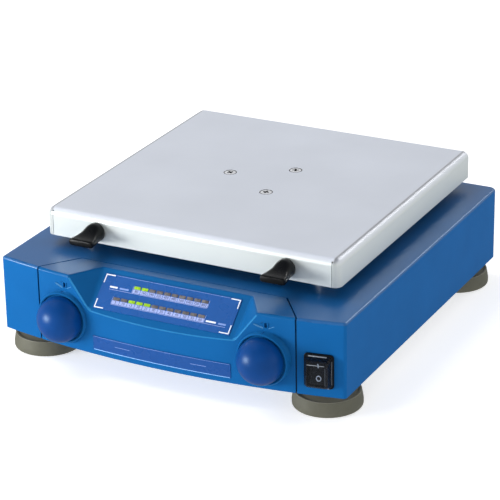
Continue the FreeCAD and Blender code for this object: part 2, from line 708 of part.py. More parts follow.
def bay_placement(x="0", down="0", rise="0"):
    """Placement on the bay floor: local Y runs up the slope, local Z out of it."""
    angle = math.atan2(value("housing_top - bay_lip_z"), value("bay_rear_y - bay_front_y"))
    turn = Rotation(Vector(1, 0, 0), math.degrees(angle))
    spot = Vector(value(x), -value(down), value(rise))
    return Placement(Vector(0, value("bay_rear_y"), value("housing_top")) + turn.multVec(spot), turn)


def bay_plate(width, height, thick, x, down, rise):
    """Thin plate lying on the bay floor."""
    plate = doc.addObject("Part::Box", "Plate")
    plate.setExpression("Length", full(width))
    plate.setExpression("Width", full(height))
    plate.setExpression("Height", full(thick))
    plate.Placement = bay_placement(f"({x}) - ({width}) / 2", f"({down}) + ({height}) / 2", rise)
    return plate


def make_display():
    """Label on the bay floor and its two rows of indicator windows."""
    keep(bay_plate("label_width", "label_height", "label_thick", "label_x", "label_slope", "0"),
         "display_label")
    for node, count, left, pitch, down in (
            ("speed_lamps", 10, "speed_row_left", "speed_pitch", "speed_row_slope"),
            ("timer_lamps", 12, "timer_row_left", "timer_pitch", "timer_row_slope")):
        windows = []
        for number in range(count):
            x = f"{left} + ({number} + 0.5) * {pitch}"
            windows.append(bay_plate(f"{pitch} - lamp_gap", "lamp_height", "lamp_thick", x, down,
                                     "label_thick"))
        keep(group(windows), node)


def make_nameplate():
    """Thin strip along the bowed front, with no lettering."""
    body = new_body("nameplate_label")
    sketch = new_sketch(body, "XY_Plane", "nameplate_low")
    half = "nameplate_half"
    points = [("-nameplate_half", bow_y(half, "-nameplate_thick")),
              ("nameplate_half", bow_y(half, "-nameplate_thick")),
              ("nameplate_half", bow_y(half)), ("-nameplate_half", bow_y(half))]
    outline(sketch, points, {0: (("0", bow_y("0", "-nameplate_thick")),
                                 f"{BOW_RADIUS} + nameplate_thick"),
                             2: (("0", bow_y("0")), BOW_RADIUS)})
    pad(body, sketch, "nameplate_high - nameplate_low")


# ---------------------------------------------------------------- controls

def make_control(name, x):
    """Domed knob, the shaft it sits on, and the potentiometer behind the panel."""
    dome = doc.addObject("Part::Ellipsoid", "Dome")
    dome.Placement = Placement(Vector(), Rotation(Vector(1, 0, 0), 90))
    dome.setExpression("Radius1", full("knob_length - knob_skirt"))
    dome.setExpression("Radius2", full("knob_radius"))
    dome.setExpression("Radius3", full("knob_radius"))
    dome.Angle1 = 0
    dome.Angle2 = 90
    place(dome, x, "knob_back_y - knob_skirt", "knob_z")
    skirt = cylinder("knob_radius", "knob_skirt", x, "knob_back_y", "knob_z", "-Y")
    bore = cylinder("shaft_radius", "shaft_grip", x, "knob_back_y", "knob_z", "-Y")
    keep(cut(fuse(dome, skirt), bore), f"{name}_knob")

    length = "shaft_rear_y - knob_back_y + shaft_grip"
    shaft = cylinder("shaft_radius", length, x, "shaft_rear_y", "knob_z", "-Y")
    keep(shaft, f"{name}_pot_shaft")

    case = block("pot_side", "pot_depth", "pot_side", x, "pot_y", "knob_z - pot_side / 2")
    sleeve = cylinder("pot_sleeve_radius", "pot_sleeve_length", x, "pot_sleeve_rear_y", "knob_z", "-Y")
    bore = cylinder("shaft_radius + pot_clear", "2 * pot_sleeve_length", x, "pot_bore_rear_y",
                    "knob_z", "-Y")
    keep(cut(fuse(case, sleeve), bore), f"{name}_pot")


def make_control_board():
    """Printed circuit board that stands behind the front panel."""
    keep(block("control_board_width", "board_thick", "control_board_height", "0",
               "control_board_y", "control_board_low"), "control_board")


def switch_placement():
    """Frame of the switch: on the bowed front and square to it."""
    x = value("switch_x")
    lean = math.degrees(math.asin(x / value(BOW_RADIUS)))
    return Placement(Vector(x, value(bow_y("switch_x")), value("switch_z")),
                     Rotation(Vector(0, 0, 1), lean))


def make_switch():
    """Snap-in frame, tilting rocker and the soft boot over both."""
    frame = new_body("switch_frame")
    sketch = new_sketch(frame, "XZ_Plane")
    rectangle(sketch, "0", "0", "switch_width", "switch_height")
    pad(frame, sketch, "switch_flange")
    fillet(frame, "switch_corner", lambda e: box_of(e).YLength > 1)
    fillet(frame, "switch_edge", lambda e: abs(box_of(e).YMax + value("switch_flange")) < 0.01)
    sketch = new_sketch(frame, "XZ_Plane")
    rectangle(sketch, "0", "0", "switch_body_width", "switch_body_height")
    pad(frame, sketch, "switch_body_depth", reverse=True)
    sketch = new_sketch(frame, "XZ_Plane", "switch_flange")
    rectangle(sketch, "0", "0", "rocker_width + 2 * rocker_play", "rocker_height + 2 * rocker_play")
    pocket(frame, sketch, "switch_flange + rocker_well")
    sketch = new_sketch(frame, "YZ_Plane")
    circle(sketch, "0", "0", "trunnion_radius + trunnion_clear")
    pocket(frame, sketch, "rocker_width + 2 * trunnion_reach + 0.2", middle=True)
    frame.Placement = switch_placement()

    rocker = new_body("power_rocker")
    sketch = new_sketch(rocker, "YZ_Plane")
    half = "rocker_height / 2"
    outline(sketch, [("-rocker_rise", f"-({half})"), ("rocker_flank", f"-({half}) * 0.72"),
                     ("rocker_keel", "-rocker_keel_half"), ("rocker_keel", "rocker_keel_half"),
                     ("rocker_flank", f"({half}) * 0.72"), ("-rocker_rise", half)],
            {5: (("rocker_dish - rocker_rise", "0"),
                 f"(({half})^2 + rocker_dish^2) / (2 * rocker_dish)")})
    pad(rocker, sketch, "rocker_width", middle=True)
    sketch = new_sketch(rocker, "YZ_Plane")
    circle(sketch, "0", "0", "trunnion_radius")
    pad(rocker, sketch, "rocker_width + 2 * trunnion_reach", middle=True)
    rocker.Placement = switch_placement() * Placement(
        Vector(), Rotation(Vector(1, 0, 0), value("rocker_tilt")))

    boot = new_body("switch_boot")
    for shrink, grow in (("0", "0"), ("boot_wall", "boot_wall")):
        outer = shrink == "0"
        near = new_sketch(boot, "XZ_Plane", "switch_flange" if outer else "switch_flange - 0.01")
        rectangle(near, "0", "0", f"switch_width - 2 * boot_lap - 2 * {shrink}",
                  f"switch_height - 2 * boot_lap - 2 * {shrink}")
        far = new_sketch(boot, "XZ_Plane", f"switch_flange + boot_depth - {grow}")
        rectangle(far, "0", "0", f"boot_tip_width - 2 * {shrink}",
                  f"boot_tip_height - 2 * {shrink}")
        kind = "AdditiveLoft" if outer else "SubtractiveLoft"
        loft = boot.newObject("PartDesign::" + kind, boot.Name + "_loft")
        loft.Profile = near
        loft.Sections = [far]
        loft.Ruled = True
        doc.recompute()
        if outer:
            fillet(boot, "boot_round", lambda e: box_of(e).YMax < -value("switch_flange") - 1
                   or box_of(e).YLength > 5)
    boot.Placement = switch_placement()


# ---------------------------------------------------------------- base and feet

def make_base_plate():
    """Steel plate that closes the housing, with two tabs beside the front panel."""
    body = new_body("base_plate")
    sketch = new_sketch(body, "XY_Plane", "housing_bottom")
    outline(sketch, [("-base_half", "base_rear_y"), ("-base_half", "base_tab_y"),
                     ("-base_tab_x", "base_tab_y"), ("-base_tab_x", "base_front_y"),
                     ("base_tab_x", "base_front_y"), ("base_tab_x", "base_tab_y"),
                     ("base_half", "base_tab_y"), ("base_half", "base_rear_y")])
    pad(body, sketch, "base_thick")
    fillet(body, "base_corner", lambda e: upright(e) and box_of(e).YMin > value("base_rear_y - 1"))
    sketch = new_sketch(body, "XY_Plane", "housing_bottom")
    for x in ("foot_x", "-foot_x"):
        for y in ("foot_front_y", "foot_rear_y"):
            circle(sketch, x, y, "foot_screw_radius")
    for x in ("boss_x", "-boss_x"):
        for y in ("boss_front_y", "boss_rear_y"):
            circle(sketch, x, y, "case_screw_radius")
    for dx, dy in spots_on_circle(3, "motor_screw_ring", 90):
        circle(sketch, f"motor_x + {dx}", f"motor_y + {dy}", "case_screw_radius")
    pocket(body, sketch, "base_thick + inner_margin", reverse=True)

    screws = []
    for x in ("boss_x", "-boss_x"):
        for y in ("boss_front_y", "boss_rear_y"):
            low = "housing_bottom - case_head_height"
            head = cut(cylinder("case_screw_head", "case_head_height", x, y, low),
                       block("case_slot_length", "case_slot", "case_slot", x, y, low),
                       block("case_slot", "case_slot_length", "case_slot", x, y, low))
            screws.append(fuse(head, cylinder("case_screw_radius", "base_thick", x, y,
                                              "housing_bottom")))
    keep(group(screws), "base_screws")


def make_feet():
    """Four rubber cups, each with a hub that carries the base plate, and their screws."""
    screws = []
    for across, x in (("left", "-foot_x"), ("right", "foot_x")):
        for along, y in (("front", "foot_front_y"), ("rear", "foot_rear_y")):
            body = new_body(f"foot_{along}_{across}")
            sketch = new_sketch(body, "XZ_Plane")
            outline(sketch, [
                ("foot_screw_well", "1.2"), ("14", "1.2"), ("14.8", "0"), ("foot_radius - 2", "0"),
                ("foot_radius", "2"), ("foot_radius", "4"), ("foot_rim_radius", "foot_rim_z - 1"),
                ("foot_rim_radius - 1", "foot_rim_z"), ("foot_rim_radius - 3", "foot_rim_z"),
                ("foot_rim_radius - 3.6", "foot_web_z"), ("foot_hub_radius", "foot_web_z"),
                ("foot_hub_radius", "housing_bottom"), ("foot_screw_radius", "housing_bottom"),
                ("foot_screw_radius", "foot_screw_seat"), ("foot_screw_well", "foot_screw_seat")],
                {3: (("foot_radius - 0.5858", "0.5858"), "2")})
            revolve(body, sketch)
            place(body, x, y)
            inside = "housing_bottom + base_thick"
            head = cylinder("foot_screw_head", "2.6", x, y, "foot_screw_seat - 2.6")
            shank = cylinder("foot_screw_radius", f"{inside} - foot_screw_seat", x, y,
                             "foot_screw_seat")
            nut = cylinder("4", "3", x, y, inside)
            screws.append(fuse(head, shank, nut))
    keep(group(screws), "foot_screws")


# ---------------------------------------------------------------- electrics

def make_power_board():
    """Mains board on four standoffs, with its transformer and capacitors."""
    floor = "(housing_bottom + base_thick)"
    face = "power_z + board_thick"
    keep(block("power_width", "power_depth", "board_thick", "power_x", "power_y", "power_z"),
         "power_board")
    standoffs = [cylinder("standoff_radius", f"power_z - {floor}", f"power_x {dx}", f"power_y {dy}",
                          floor)
                 for dx in ("- standoff_x", "+ standoff_x") for dy in ("- standoff_y", "+ standoff_y")]
    keep(group(standoffs), "board_standoffs")
    core = block("core_width", "core_depth", "core_height", "power_x", "transformer_y",
                 f"{face} + core_rise")
    bobbin = block("bobbin_width", "bobbin_depth", "bobbin_height", "power_x", "transformer_y", face)
    keep(fuse(core, bobbin), "transformer")
    keep(group([cylinder("capacitor_radius", "capacitor_height", x, "capacitor_y", face)
                for x in ("power_x - capacitor_x", "power_x + capacitor_x")]), "capacitors")


def make_mains_inlet():
    """Rear mains inlet with its contact pins, and the fuse drawer below the socket."""
    body = new_body("mains_inlet")
    sketch = new_sketch(body, "XZ_Plane")
    rectangle(sketch, "0", "0", "inlet_flange_width", "inlet_flange_height")
    pad(body, sketch, "inlet_flange_thick", reverse=True)
    fillet(body, "4", lambda e: box_of(e).YLength > 1)
    sketch = new_sketch(body, "XZ_Plane")
    rectangle(sketch, "0", "0", "inlet_body_width - 2 * inlet_play",
              "inlet_body_height - 2 * inlet_play")
    pad(body, sketch, "inlet_body_depth")
    sketch = new_sketch(body, "XZ_Plane", "-inlet_flange_thick")
    outline(sketch, [("-socket_half", "socket_low"), ("socket_half", "socket_low"),
                     ("socket_half", "socket_shoulder"), ("socket_top_half", "socket_high"),
                     ("-socket_top_half", "socket_high"), ("-socket_half", "socket_shoulder")])
    pocket(body, sketch, "socket_depth + inlet_flange_thick", reverse=True)
    sketch = new_sketch(body, "XZ_Plane", "-inlet_flange_thick")
    rectangle(sketch, "0", "-drawer_down", "drawer_width + 2 * drawer_play",
              "drawer_height + 2 * drawer_play")
    pocket(body, sketch, "drawer_well + inlet_flange_thick", reverse=True)
    sketch = new_sketch(body, "XZ_Plane", "-inlet_flange_thick")
    for x in ("-flange_hole_x", "flange_hole_x"):
        circle(sketch, x, "0", "flange_hole_radius")
    pocket(body, sketch, "inlet_flange_thick + 0.5", reverse=True)
    place(body, "inlet_x", "rear_y", "inlet_z")

    pins = [block("2", "13", "4", f"inlet_x + ({x})", "rear_y - 9.5", f"inlet_z + ({z})")
            for x, z in (("-7", "-1.2"), ("7", "-1.2"), ("0", "5"))]
    keep(group(pins), "inlet_pins")

    low = "inlet_z - drawer_down - drawer_height / 2"
    drawer = block("drawer_width", "drawer_depth", "drawer_height", "inlet_x",
                   "rear_y + drawer_front - drawer_depth / 2", low)
    grip = block("8", "2.4", "2", "inlet_x", "rear_y + drawer_front", low)
    bays = [block("10", "19", "6", f"inlet_x + ({x})", "rear_y - 10", "inlet_z - drawer_down - 1.8")
            for x in ("-fuse_x", "fuse_x")]
    keep(cut(drawer, grip, *bays), "fuse_drawer")
    fuses = []
    for x in ("-fuse_x", "fuse_x"):
        fuses.append(cylinder("fuse_radius", "fuse_length", f"inlet_x + ({x})", "rear_y - 1",
                              "inlet_z - drawer_down + 0.8", "-Y"))
    keep(group(fuses), "fuses")


# ---------------------------------------------------------------- motor and belt

def make_pulley(label, radius, bore, x, y):
    """Flat belt pulley with a flange at each end."""
    hub = cylinder(radius, "pulley_high - pulley_low", x, y, "pulley_low")
    flanges = [cylinder(f"{radius} + flange_rise", "flange_thick", x, y, z)
               for z in ("pulley_low", "pulley_high - flange_thick")]
    keep(cut(fuse(hub, *flanges), cylinder(bore, "pulley_high - pulley_low", x, y, "pulley_low")),
         label)


def make_motor():
    """Motor on its bracket: case, stator ring, and the rotor with its shaft."""
    x = "motor_x"
    y = "motor_y"
    floor = "(housing_bottom + base_thick)"
    screws = []
    holes = []
    for dx, dy in spots_on_circle(3, "motor_screw_ring", 90):
        at_x = f"motor_x + {dx}"
        at_y = f"motor_y + {dy}"
        head = cylinder("motor_screw_head", "case_head_height", at_x, at_y,
                        "housing_bottom - case_head_height")
        screws.append(fuse(head, cylinder("case_screw_radius", "base_thick + bracket_thick", at_x,
                                          at_y, "housing_bottom")))
        holes.append(cylinder("case_screw_radius", "bracket_thick", at_x, at_y, floor))
    keep(cut(cylinder("bracket_radius", "bracket_thick", x, y, floor), *holes), "motor_bracket")
    keep(group(screws), "motor_screws")
    outer = cylinder("motor_radius", "motor_case_height", x, y, "motor_case_low")
    room = cylinder("motor_radius - motor_case_wall", "motor_case_height - 2 * motor_case_end", x, y,
                    "motor_case_low + motor_case_end")
    hole = cylinder("motor_shaft_radius + 0.3", "3 * motor_case_end", x, y,
                    "motor_case_low + motor_case_height - 2 * motor_case_end")
    keep(cut(outer, room, hole), "motor_case")
    keep(ring("stator_inner", "motor_radius - motor_case_wall", "stator_height", x, y, "stator_low"),
         "motor_stator")
    keep(fuse(cylinder("rotor_radius", "rotor_height", x, y, "rotor_low"),
              cylinder("motor_shaft_radius", "motor_shaft_length", x, y, "motor_shaft_low")),
         "motor_rotor")
    make_pulley("motor_pulley", "motor_pulley_radius", "motor_shaft_radius", x, y)


def make_belt():
    """Belt round both pulleys: two arcs joined by their common tangents."""
    big = Vector(0, value("axis_y"), 0)
    small = Vector(value("motor_x"), value("motor_y"), 0)
    low = value("(pulley_low + pulley_high - belt_width) / 2")
    faces = []
    for lift in (value("belt_clear"), value("belt_clear + belt_thick")):
        big_radius = value("drive_pulley_radius") + lift
        small_radius = value("motor_pulley_radius") + lift
        span = small - big
        heading = math.atan2(span.y, span.x)
        lean = math.acos((big_radius - small_radius) / span.Length)

        def rim(centre, radius, angle):
            return centre + Vector(radius * math.cos(angle), radius * math.sin(angle), 0)
        first = heading + lean
        last = heading - lean
        edges = [
            Part.Arc(rim(big, big_radius, first), rim(big, big_radius, heading + math.pi),
                     rim(big, big_radius, last)).toShape(),
            Part.LineSegment(rim(big, big_radius, last), rim(small, small_radius, last)).toShape(),
            Part.Arc(rim(small, small_radius, last), rim(small, small_radius, heading),
                     rim(small, small_radius, first)).toShape(),
            Part.LineSegment(rim(small, small_radius, first), rim(big, big_radius, first)).toShape(),
        ]
        faces.append(Part.Face(Part.Wire(edges)))
    belt = doc.addObject("Part::Feature", "Belt")
    belt.Shape = faces[1].cut(faces[0]).extrude(Vector(0, 0, value("belt_width")))
    belt.Placement = Placement(Vector(0, 0, low), Rotation())
    keep(belt, "drive_belt")


# ---------------------------------------------------------------- orbit drive

def make_bearing_housing():
    """Flanged pillar that carries the main shaft in two ball bearings."""
    body = new_body("bearing_housing")
    sketch = new_sketch(body, "XZ_Plane")
    top = "upper_bearing_z + bearing_width + 0.5"
    floor = "(housing_bottom + base_thick)"
    outline(sketch, [("10", floor), ("45", floor), ("45", f"{floor} + 5"), ("25", f"{floor} + 5"),
                     ("22", top), ("bearing_radius", top), ("bearing_radius", "lower_bearing_z"),
                     ("10", "lower_bearing_z")])
    revolve(body, sketch)
    place(body, "0", "axis_y")


def ball_ring(bearing_radius, x, y, z):
    """Balls of one bearing, evenly spaced between its rings."""
    inner = value("drive_shaft_radius + race_thick")
    outer = value(bearing_radius) - value("race_thick")
    ball = (outer - inner) / 2 - 0.2
    track = (outer + inner) / 2
    count = int(2 * math.pi * track / (3.4 * ball))
    balls = []
    for number in range(count):
        angle = 2 * math.pi * number / count
        sphere = doc.addObject("Part::Sphere", "Ball")
        sphere.Radius = ball
        sphere.Placement = Placement(Vector(value(x) + track * math.cos(angle),
                                            value(y) + track * math.sin(angle), value(z)), Rotation())
        balls.append(sphere)
    return balls


def make_bearings():
    """Rings and balls of the two main bearings and of the pin bearing."""
    seats = [("bearing_radius", "bearing_width", "0", "axis_y", "lower_bearing_z"),
             ("bearing_radius", "bearing_width", "0", "axis_y", "upper_bearing_z"),
             ("pin_bearing_radius", "pin_bearing_width", "pin_dx", "axis_y + pin_dy",
              "pin_bearing_z")]
    outer = []
    inner = []
    balls = []
    for radius, width, x, y, z in seats:
        outer.append(ring(f"{radius} - race_thick", radius, width, x, y, z))
        inner.append(ring("drive_shaft_radius", "drive_shaft_radius + race_thick", width, x, y, z))
        balls += ball_ring(radius, x, y, f"{z} + {width} / 2")
    keep(group(outer[:2]), "main_bearing_outer_rings")
    keep(outer[2], "pin_bearing_outer_ring")
    keep(group(inner), "bearing_inner_rings")
    keep(group(balls), "bearing_balls")


def make_eccentric():
    """Main shaft with its shoulder and offset pin, its pulley and its counterweight."""
    shaft = cylinder("drive_shaft_radius", "pulley_high - drive_shaft_low", "0", "axis_y",
                     "drive_shaft_low")
    shoulder = cylinder("shoulder_radius", "collar_top - pulley_high", "0", "axis_y", "pulley_high")
    pin = cylinder("drive_shaft_radius", "pin_top - collar_top", "pin_dx", "axis_y + pin_dy",
                   "collar_top")
    keep(fuse(shaft, shoulder, pin), "eccentric_shaft")
    make_pulley("drive_pulley", "drive_pulley_radius", "drive_shaft_radius", "0", "axis_y")

    # the heavy half disc lies on the side away from the pin
    sector = doc.addObject("Part::Cylinder", "Sector")
    sector.setExpression("Radius", full("drive_pulley_radius"))
    sector.setExpression("Height", full("weight_thick"))
    sector.Angle = 180
    away = math.degrees(math.atan2(-value("pin_dy"), -value("pin_dx")))
    sector.Placement = Placement(Vector(0, value("axis_y"), value("pulley_high")),
                                 Rotation(Vector(0, 0, 1), away - 90))
    clamp = cylinder("shoulder_radius + 5", "weight_thick", "0", "axis_y", "pulley_high")
    bore = cylinder("shoulder_radius", "weight_thick", "0", "axis_y", "pulley_high")
    keep(cut(fuse(sector, clamp), bore), "counterweight")

    keep(ring("shoulder_radius + seal_gap", "shaft_opening", "seal_height", "0", "axis_y",
              "housing_top - wall"), "shaft_seal")


def make_guides():
    """Four idler cranks that keep the platform from turning, and their posts."""
    posts = []
    corners = [("front_left", "-guide_x", "axis_y - guide_y"),
               ("front_right", "guide_x", "axis_y - guide_y"),
               ("rear_left", "-guide_x", "axis_y + guide_y"),
               ("rear_right", "guide_x", "axis_y + guide_y")]
    floor = "(housing_bottom + base_thick)"
    for name, x, y in corners:
        pillar = cylinder("post_radius", f"post_top - {floor}", x, y, floor)
        bore = cylinder("journal_radius + journal_clear", "post_bore_depth + inner_margin", x, y,
                        "post_top - post_bore_depth")
        posts.append(cut(pillar, bore))
        journal = cylinder("journal_radius", "journal_depth + crank_gap", x, y,
                           "post_top - journal_depth")
        web = cylinder("post_radius - 1", "crank_thick", x, y, "post_top + crank_gap")
        pin = cylinder("guide_pin_radius", "guide_pin_length", f"{x} + pin_dx", f"{y} + pin_dy",
                       "post_top + crank_gap + crank_thick")
        keep(fuse(journal, web, pin), f"idler_crank_{name}")
    keep(group(posts), "idler_posts")


# ---------------------------------------------------------------- platform

def make_carrier():
    """Plate under the tray, with the hub that holds the pin bearing."""
    body = new_body("carrier_plate")
    top = "tray_top - tray_thick"
    sketch = new_sketch(body, "XY_Plane", f"{top} - carrier_thick")
    rectangle(sketch, "0", "0", "carrier_width", "carrier_depth")
    pad(body, sketch, "carrier_thick")
    fillet(body, "carrier_corner", upright)
    sketch = new_sketch(body, "XY_Plane", f"{top} - carrier_thick")
    circle(sketch, "0", "0", "hub_radius")
    pad(body, sketch, f"{top} - carrier_thick - hub_bottom", reverse=True)
    sketch = new_sketch(body, "XY_Plane", "hub_bottom")
    circle(sketch, "0", "0", "pin_bearing_radius")
    pocket(body, sketch, "pin_bearing_z + pin_bearing_width - hub_bottom", reverse=True)
    sketch = new_sketch(body, "XY_Plane", "hub_bottom")
    circle(sketch, "0", "0", "pin_bearing_radius - carrier_ledge")
    pocket(body, sketch, "pin_top + 2 - hub_bottom", reverse=True)
    sketch = new_sketch(body, "XY_Plane", top)
    for x, y in spots_on_circle(3, "screw_ring", 60):
        circle(sketch, x, y, "screw_radius")
    pocket(body, sketch, "screw_hole_depth")
    sketch = new_sketch(body, "XY_Plane", top)
    for x, y in spots_on_circle(3, "screw_ring", 60):
        circle(sketch, x, y, "screw_head - tray_thick + screw_play")
    pocket(body, sketch, "screw_head - screw_radius - tray_thick + screw_play")
    sketch = new_sketch(body, "XY_Plane", top)
    for x in ("guide_x", "-guide_x"):
        for y in ("guide_y", "-guide_y"):
            circle(sketch, x, y, "guide_bush_radius")
    for x, y in spots_on_circle(4, "carrier_hole_ring", 45):
        circle(sketch, x, y, "carrier_hole")
    pocket(body, sketch, "carrier_thick + inner_margin")
    place(body, "pin_dx", "axis_y + pin_dy")

    bushes = [ring("guide_pin_radius + guide_clear", "guide_bush_radius", f"{top} - post_top - 5",
                   f"{x} + pin_dx", f"axis_y + {y} + pin_dy", "post_top + 5")
              for x in ("guide_x", "-guide_x") for y in ("guide_y", "-guide_y")]
    keep(group(bushes), "guide_bushes")


def make_tray():
    """Sheet-metal tray with aprons bent down on all four sides."""
    body = new_body("platform_tray")
    off_y = "tray_y - axis_y - pin_dy"
    sketch = new_sketch(body, "XY_Plane", "tray_apron_z")
    rectangle(sketch, "0", off_y, "tray_width", "tray_depth")
    pad(body, sketch, "tray_top - tray_apron_z")
    fillet(body, "tray_corner", upright)
    fillet(body, "tray_bend", lambda e: level_at(e, value("tray_top")))
    inside = [f for f in range(1, len(body.Shape.Faces) + 1)
              if box_of(body.Shape.Faces[f - 1]).ZMax < value("tray_apron_z") + 0.01]
    base = body.Tip
    shell = body.newObject("PartDesign::Thickness", "platform_tray_shell")
    shell.Base = (base, [f"Face{f}" for f in inside])
    shell.setExpression("Value", full("tray_thick"))
    shell.Reversed = True
    doc.recompute()

    sketch = new_sketch(body, "XY_Plane", "tray_top")
    for x, y in spots_on_circle(3, "screw_ring", 60):
        circle(sketch, x, y, "screw_head + screw_play")
    pocket(body, sketch, "tray_thick + 0.001", taper=-45.0)

    # seams where the side aprons wrap round and meet the front and rear aprons
    sketch = new_sketch(body, "XZ_Plane", f"-({off_y}) + tray_depth / 2 + 1")
    for side in ("-", ""):
        rectangle(sketch, f"{side}apron_seam_x", "(relief_z + tray_apron_z) / 2 - 1",
                  "apron_seam_gap", "relief_z - tray_apron_z + 2")
    pocket(body, sketch, "tray_depth + 2")
    sketch = new_sketch(body, "XZ_Plane", f"-({off_y}) + tray_depth / 2 + 1")
    for side in ("-", ""):
        circle(sketch, f"{side}apron_seam_x", "relief_z", "relief_radius")
    pocket(body, sketch, "tray_depth + 2")
    sketch = new_sketch(body, "XZ_Plane", f"-({off_y}) + tray_depth / 2 + 1")
    for side in ("-", ""):
        circle(sketch, f"{side}lock_x - pin_dx", "lock_z", "lock_hole_radius")
    pocket(body, sketch, "tray_thick + 3")
    place(body, "pin_dx", "axis_y + pin_dy")


def make_tray_screws():
    """Three countersunk cross-head screws."""
    screws = []
    for x, y in spots_on_circle(3, "screw_ring", 60):
        at_x = f"pin_dx + {x}"
        at_y = f"axis_y + pin_dy + {y}"
        rise = "(screw_head - screw_radius)"
        head = cone("screw_radius", "screw_head", rise, at_x, at_y, f"tray_top - {rise}")
        shank = cylinder("screw_radius", "screw_shank", at_x, at_y, f"tray_top - {rise} - screw_shank")
        sides = ("screw_slot_length", "screw_slot")
        slots = [block(*across, "screw_slot_depth", at_x, at_y, "tray_top - screw_slot_depth")
                 for across in (sides, sides[::-1])]
        screws.append(cut(fuse(head, shank), *slots))
    keep(group(screws), "platform_screws")


def make_lock_knobs():
    """Two locking knobs: round hub, flat wing that widens outwards, and a stud."""
    apron_y = "tray_y - tray_depth / 2"
    nuts = []
    for name, x in (("left", "-lock_x"), ("right", "lock_x")):
        body = new_body(f"lock_knob_{name}")
        sketch = new_sketch(body, "XY_Plane")
        outline(sketch, [("0", "lock_stud_length"), ("0", "-lock_hub_length"),
                         ("lock_hub_radius - 1", "-lock_hub_length"),
                         ("lock_hub_radius", "1 - lock_hub_length"), ("lock_hub_radius", "-lock_gap"),
                         ("lock_stud_radius", "-lock_gap"), ("lock_stud_radius", "lock_stud_length")])
        revolve(body, sketch)
        sketch = new_sketch(body, "XY_Plane")
        half = "lock_wing_width / 2"
        outline(sketch, [("-6.2", "-3"), (f"-({half}) + 0.6", "-lock_reach + 6"),
                         (f"-({half})", "-lock_reach"), (half, "-lock_reach"),
                         (f"{half} - 0.6", "-lock_reach + 6"), ("6.2", "-3")])
        pad(body, sketch, "lock_wing_thick", middle=True)
        fillet(body, "1.6", lambda e: upright(e) and box_of(e).YMax < -value("lock_reach") + 1)
        chamfer(body, "0.7", lambda e: abs(box_of(e).ZMin) > 2.7 and box_of(e).ZLength < 0.01
               and box_of(e).YMax < -value("lock_reach") + 2)
        place(body, x, apron_y, "lock_z")

        nut = doc.addObject("Part::Prism", "Nut")
        nut.Polygon = 6
        nut.setExpression("Circumradius", full("lock_nut_radius"))
        nut.setExpression("Height", full("lock_nut_thick"))
        nut.Placement = Placement(Vector(), Rotation(Vector(1, 0, 0), 90))
        place(nut, x, f"{apron_y} + tray_thick + lock_nut_thick", "lock_z")
        bore = cylinder("lock_nut_bore", "3 * lock_nut_thick", x, f"{apron_y} + 10", "lock_z", "-Y")
        nuts.append(cut(nut, bore))
    keep(group(nuts), "lock_nuts")


# ---------------------------------------------------------------- build and write

def check_document():
    """Stop if any object failed or any sub-part is missing or broken."""
    doc.recompute()
    for thing in doc.Objects:
        if "Invalid" in thing.State or "Error" in thing.State:
            raise RuntimeError(f"{thing.Label} ({thing.Name}) is in state {thing.State}")
    for thing in subparts:
        if thing.Shape.isNull() or not thing.Shape.isValid() or not thing.Shape.Solids:
            raise RuntimeError(f"{thing.Label} has no valid solid")


def write_steps():
    os.makedirs("parts", exist_ok=True)
    for thing in subparts:
        thing.Shape.exportStep(f"parts/{thing.Label}.step")


make_housing_shell()
make_front_panel()
make_display()
make_nameplate()
make_control("speed", "-knob_x")
make_control("timer", "knob_x")
make_control_board()
make_switch()
make_base_plate()
make_feet()
make_power_board()
make_mains_inlet()
make_motor()
make_belt()
make_bearing_housing()
make_bearings()
make_eccentric()
make_guides()
make_carrier()
make_tray()
make_tray_screws()
make_lock_knobs()
check_document()
write_steps()
print(len(subparts), "nodes")
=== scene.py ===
"""Looks of a bench-top orbital shaker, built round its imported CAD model."""

import json
import math

import bmesh
import bpy
from mathutils import Matrix, Vector
from mathutils.geometry import intersect_point_line


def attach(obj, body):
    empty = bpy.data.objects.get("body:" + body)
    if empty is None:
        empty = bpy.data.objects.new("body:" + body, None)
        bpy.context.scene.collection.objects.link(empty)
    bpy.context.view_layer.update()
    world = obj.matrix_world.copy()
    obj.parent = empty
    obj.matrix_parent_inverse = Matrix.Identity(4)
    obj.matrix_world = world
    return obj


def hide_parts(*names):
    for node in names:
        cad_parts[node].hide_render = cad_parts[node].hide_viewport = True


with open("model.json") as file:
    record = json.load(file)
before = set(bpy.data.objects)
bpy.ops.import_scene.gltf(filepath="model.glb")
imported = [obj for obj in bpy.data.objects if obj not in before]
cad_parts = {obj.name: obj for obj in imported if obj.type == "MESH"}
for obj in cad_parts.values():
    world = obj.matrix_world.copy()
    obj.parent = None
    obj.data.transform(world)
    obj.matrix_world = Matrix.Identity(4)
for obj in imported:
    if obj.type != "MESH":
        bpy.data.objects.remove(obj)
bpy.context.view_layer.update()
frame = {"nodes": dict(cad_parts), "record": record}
nodes = frame["nodes"]

MM = 0.001

# Sizes shared with the CAD model, in millimetres.
HOUSING_HALF = 135.0
FRONT_CORNER_Y = -122.0
FRONT_BOW = 14.0
HOUSING_TOP = 72.0
BOW_RADIUS = (HOUSING_HALF ** 2 + FRONT_BOW ** 2) / (2 * FRONT_BOW)
BOW_CENTRE_Y = FRONT_CORNER_Y - FRONT_BOW + BOW_RADIUS
BAY_REAR_Y = -108.0
BAY_FRONT_Y = -136.0
BAY_LIP_Z = 47.0
BAY_REAR_HALF = 59.0
BAY_NARROWING = 0.0785
BAY_FLARE = 0.817
BAY_FALL = (HOUSING_TOP - BAY_LIP_Z) / (BAY_REAR_Y - BAY_FRONT_Y)
TOP_EDGE_ROUND = 2.0
SEAM_X = 101.0
SEAM_MIDDLE_Z = 44.0
LABEL_FACE = 0.5
NAMEPLATE_FACE = 0.4
KNOB_X = 78.8
KNOB_Z = 39.9
KNOB_BACK_Y = -134.9
BOSS_RADIUS = 19.4
SWITCH_X = 117.0
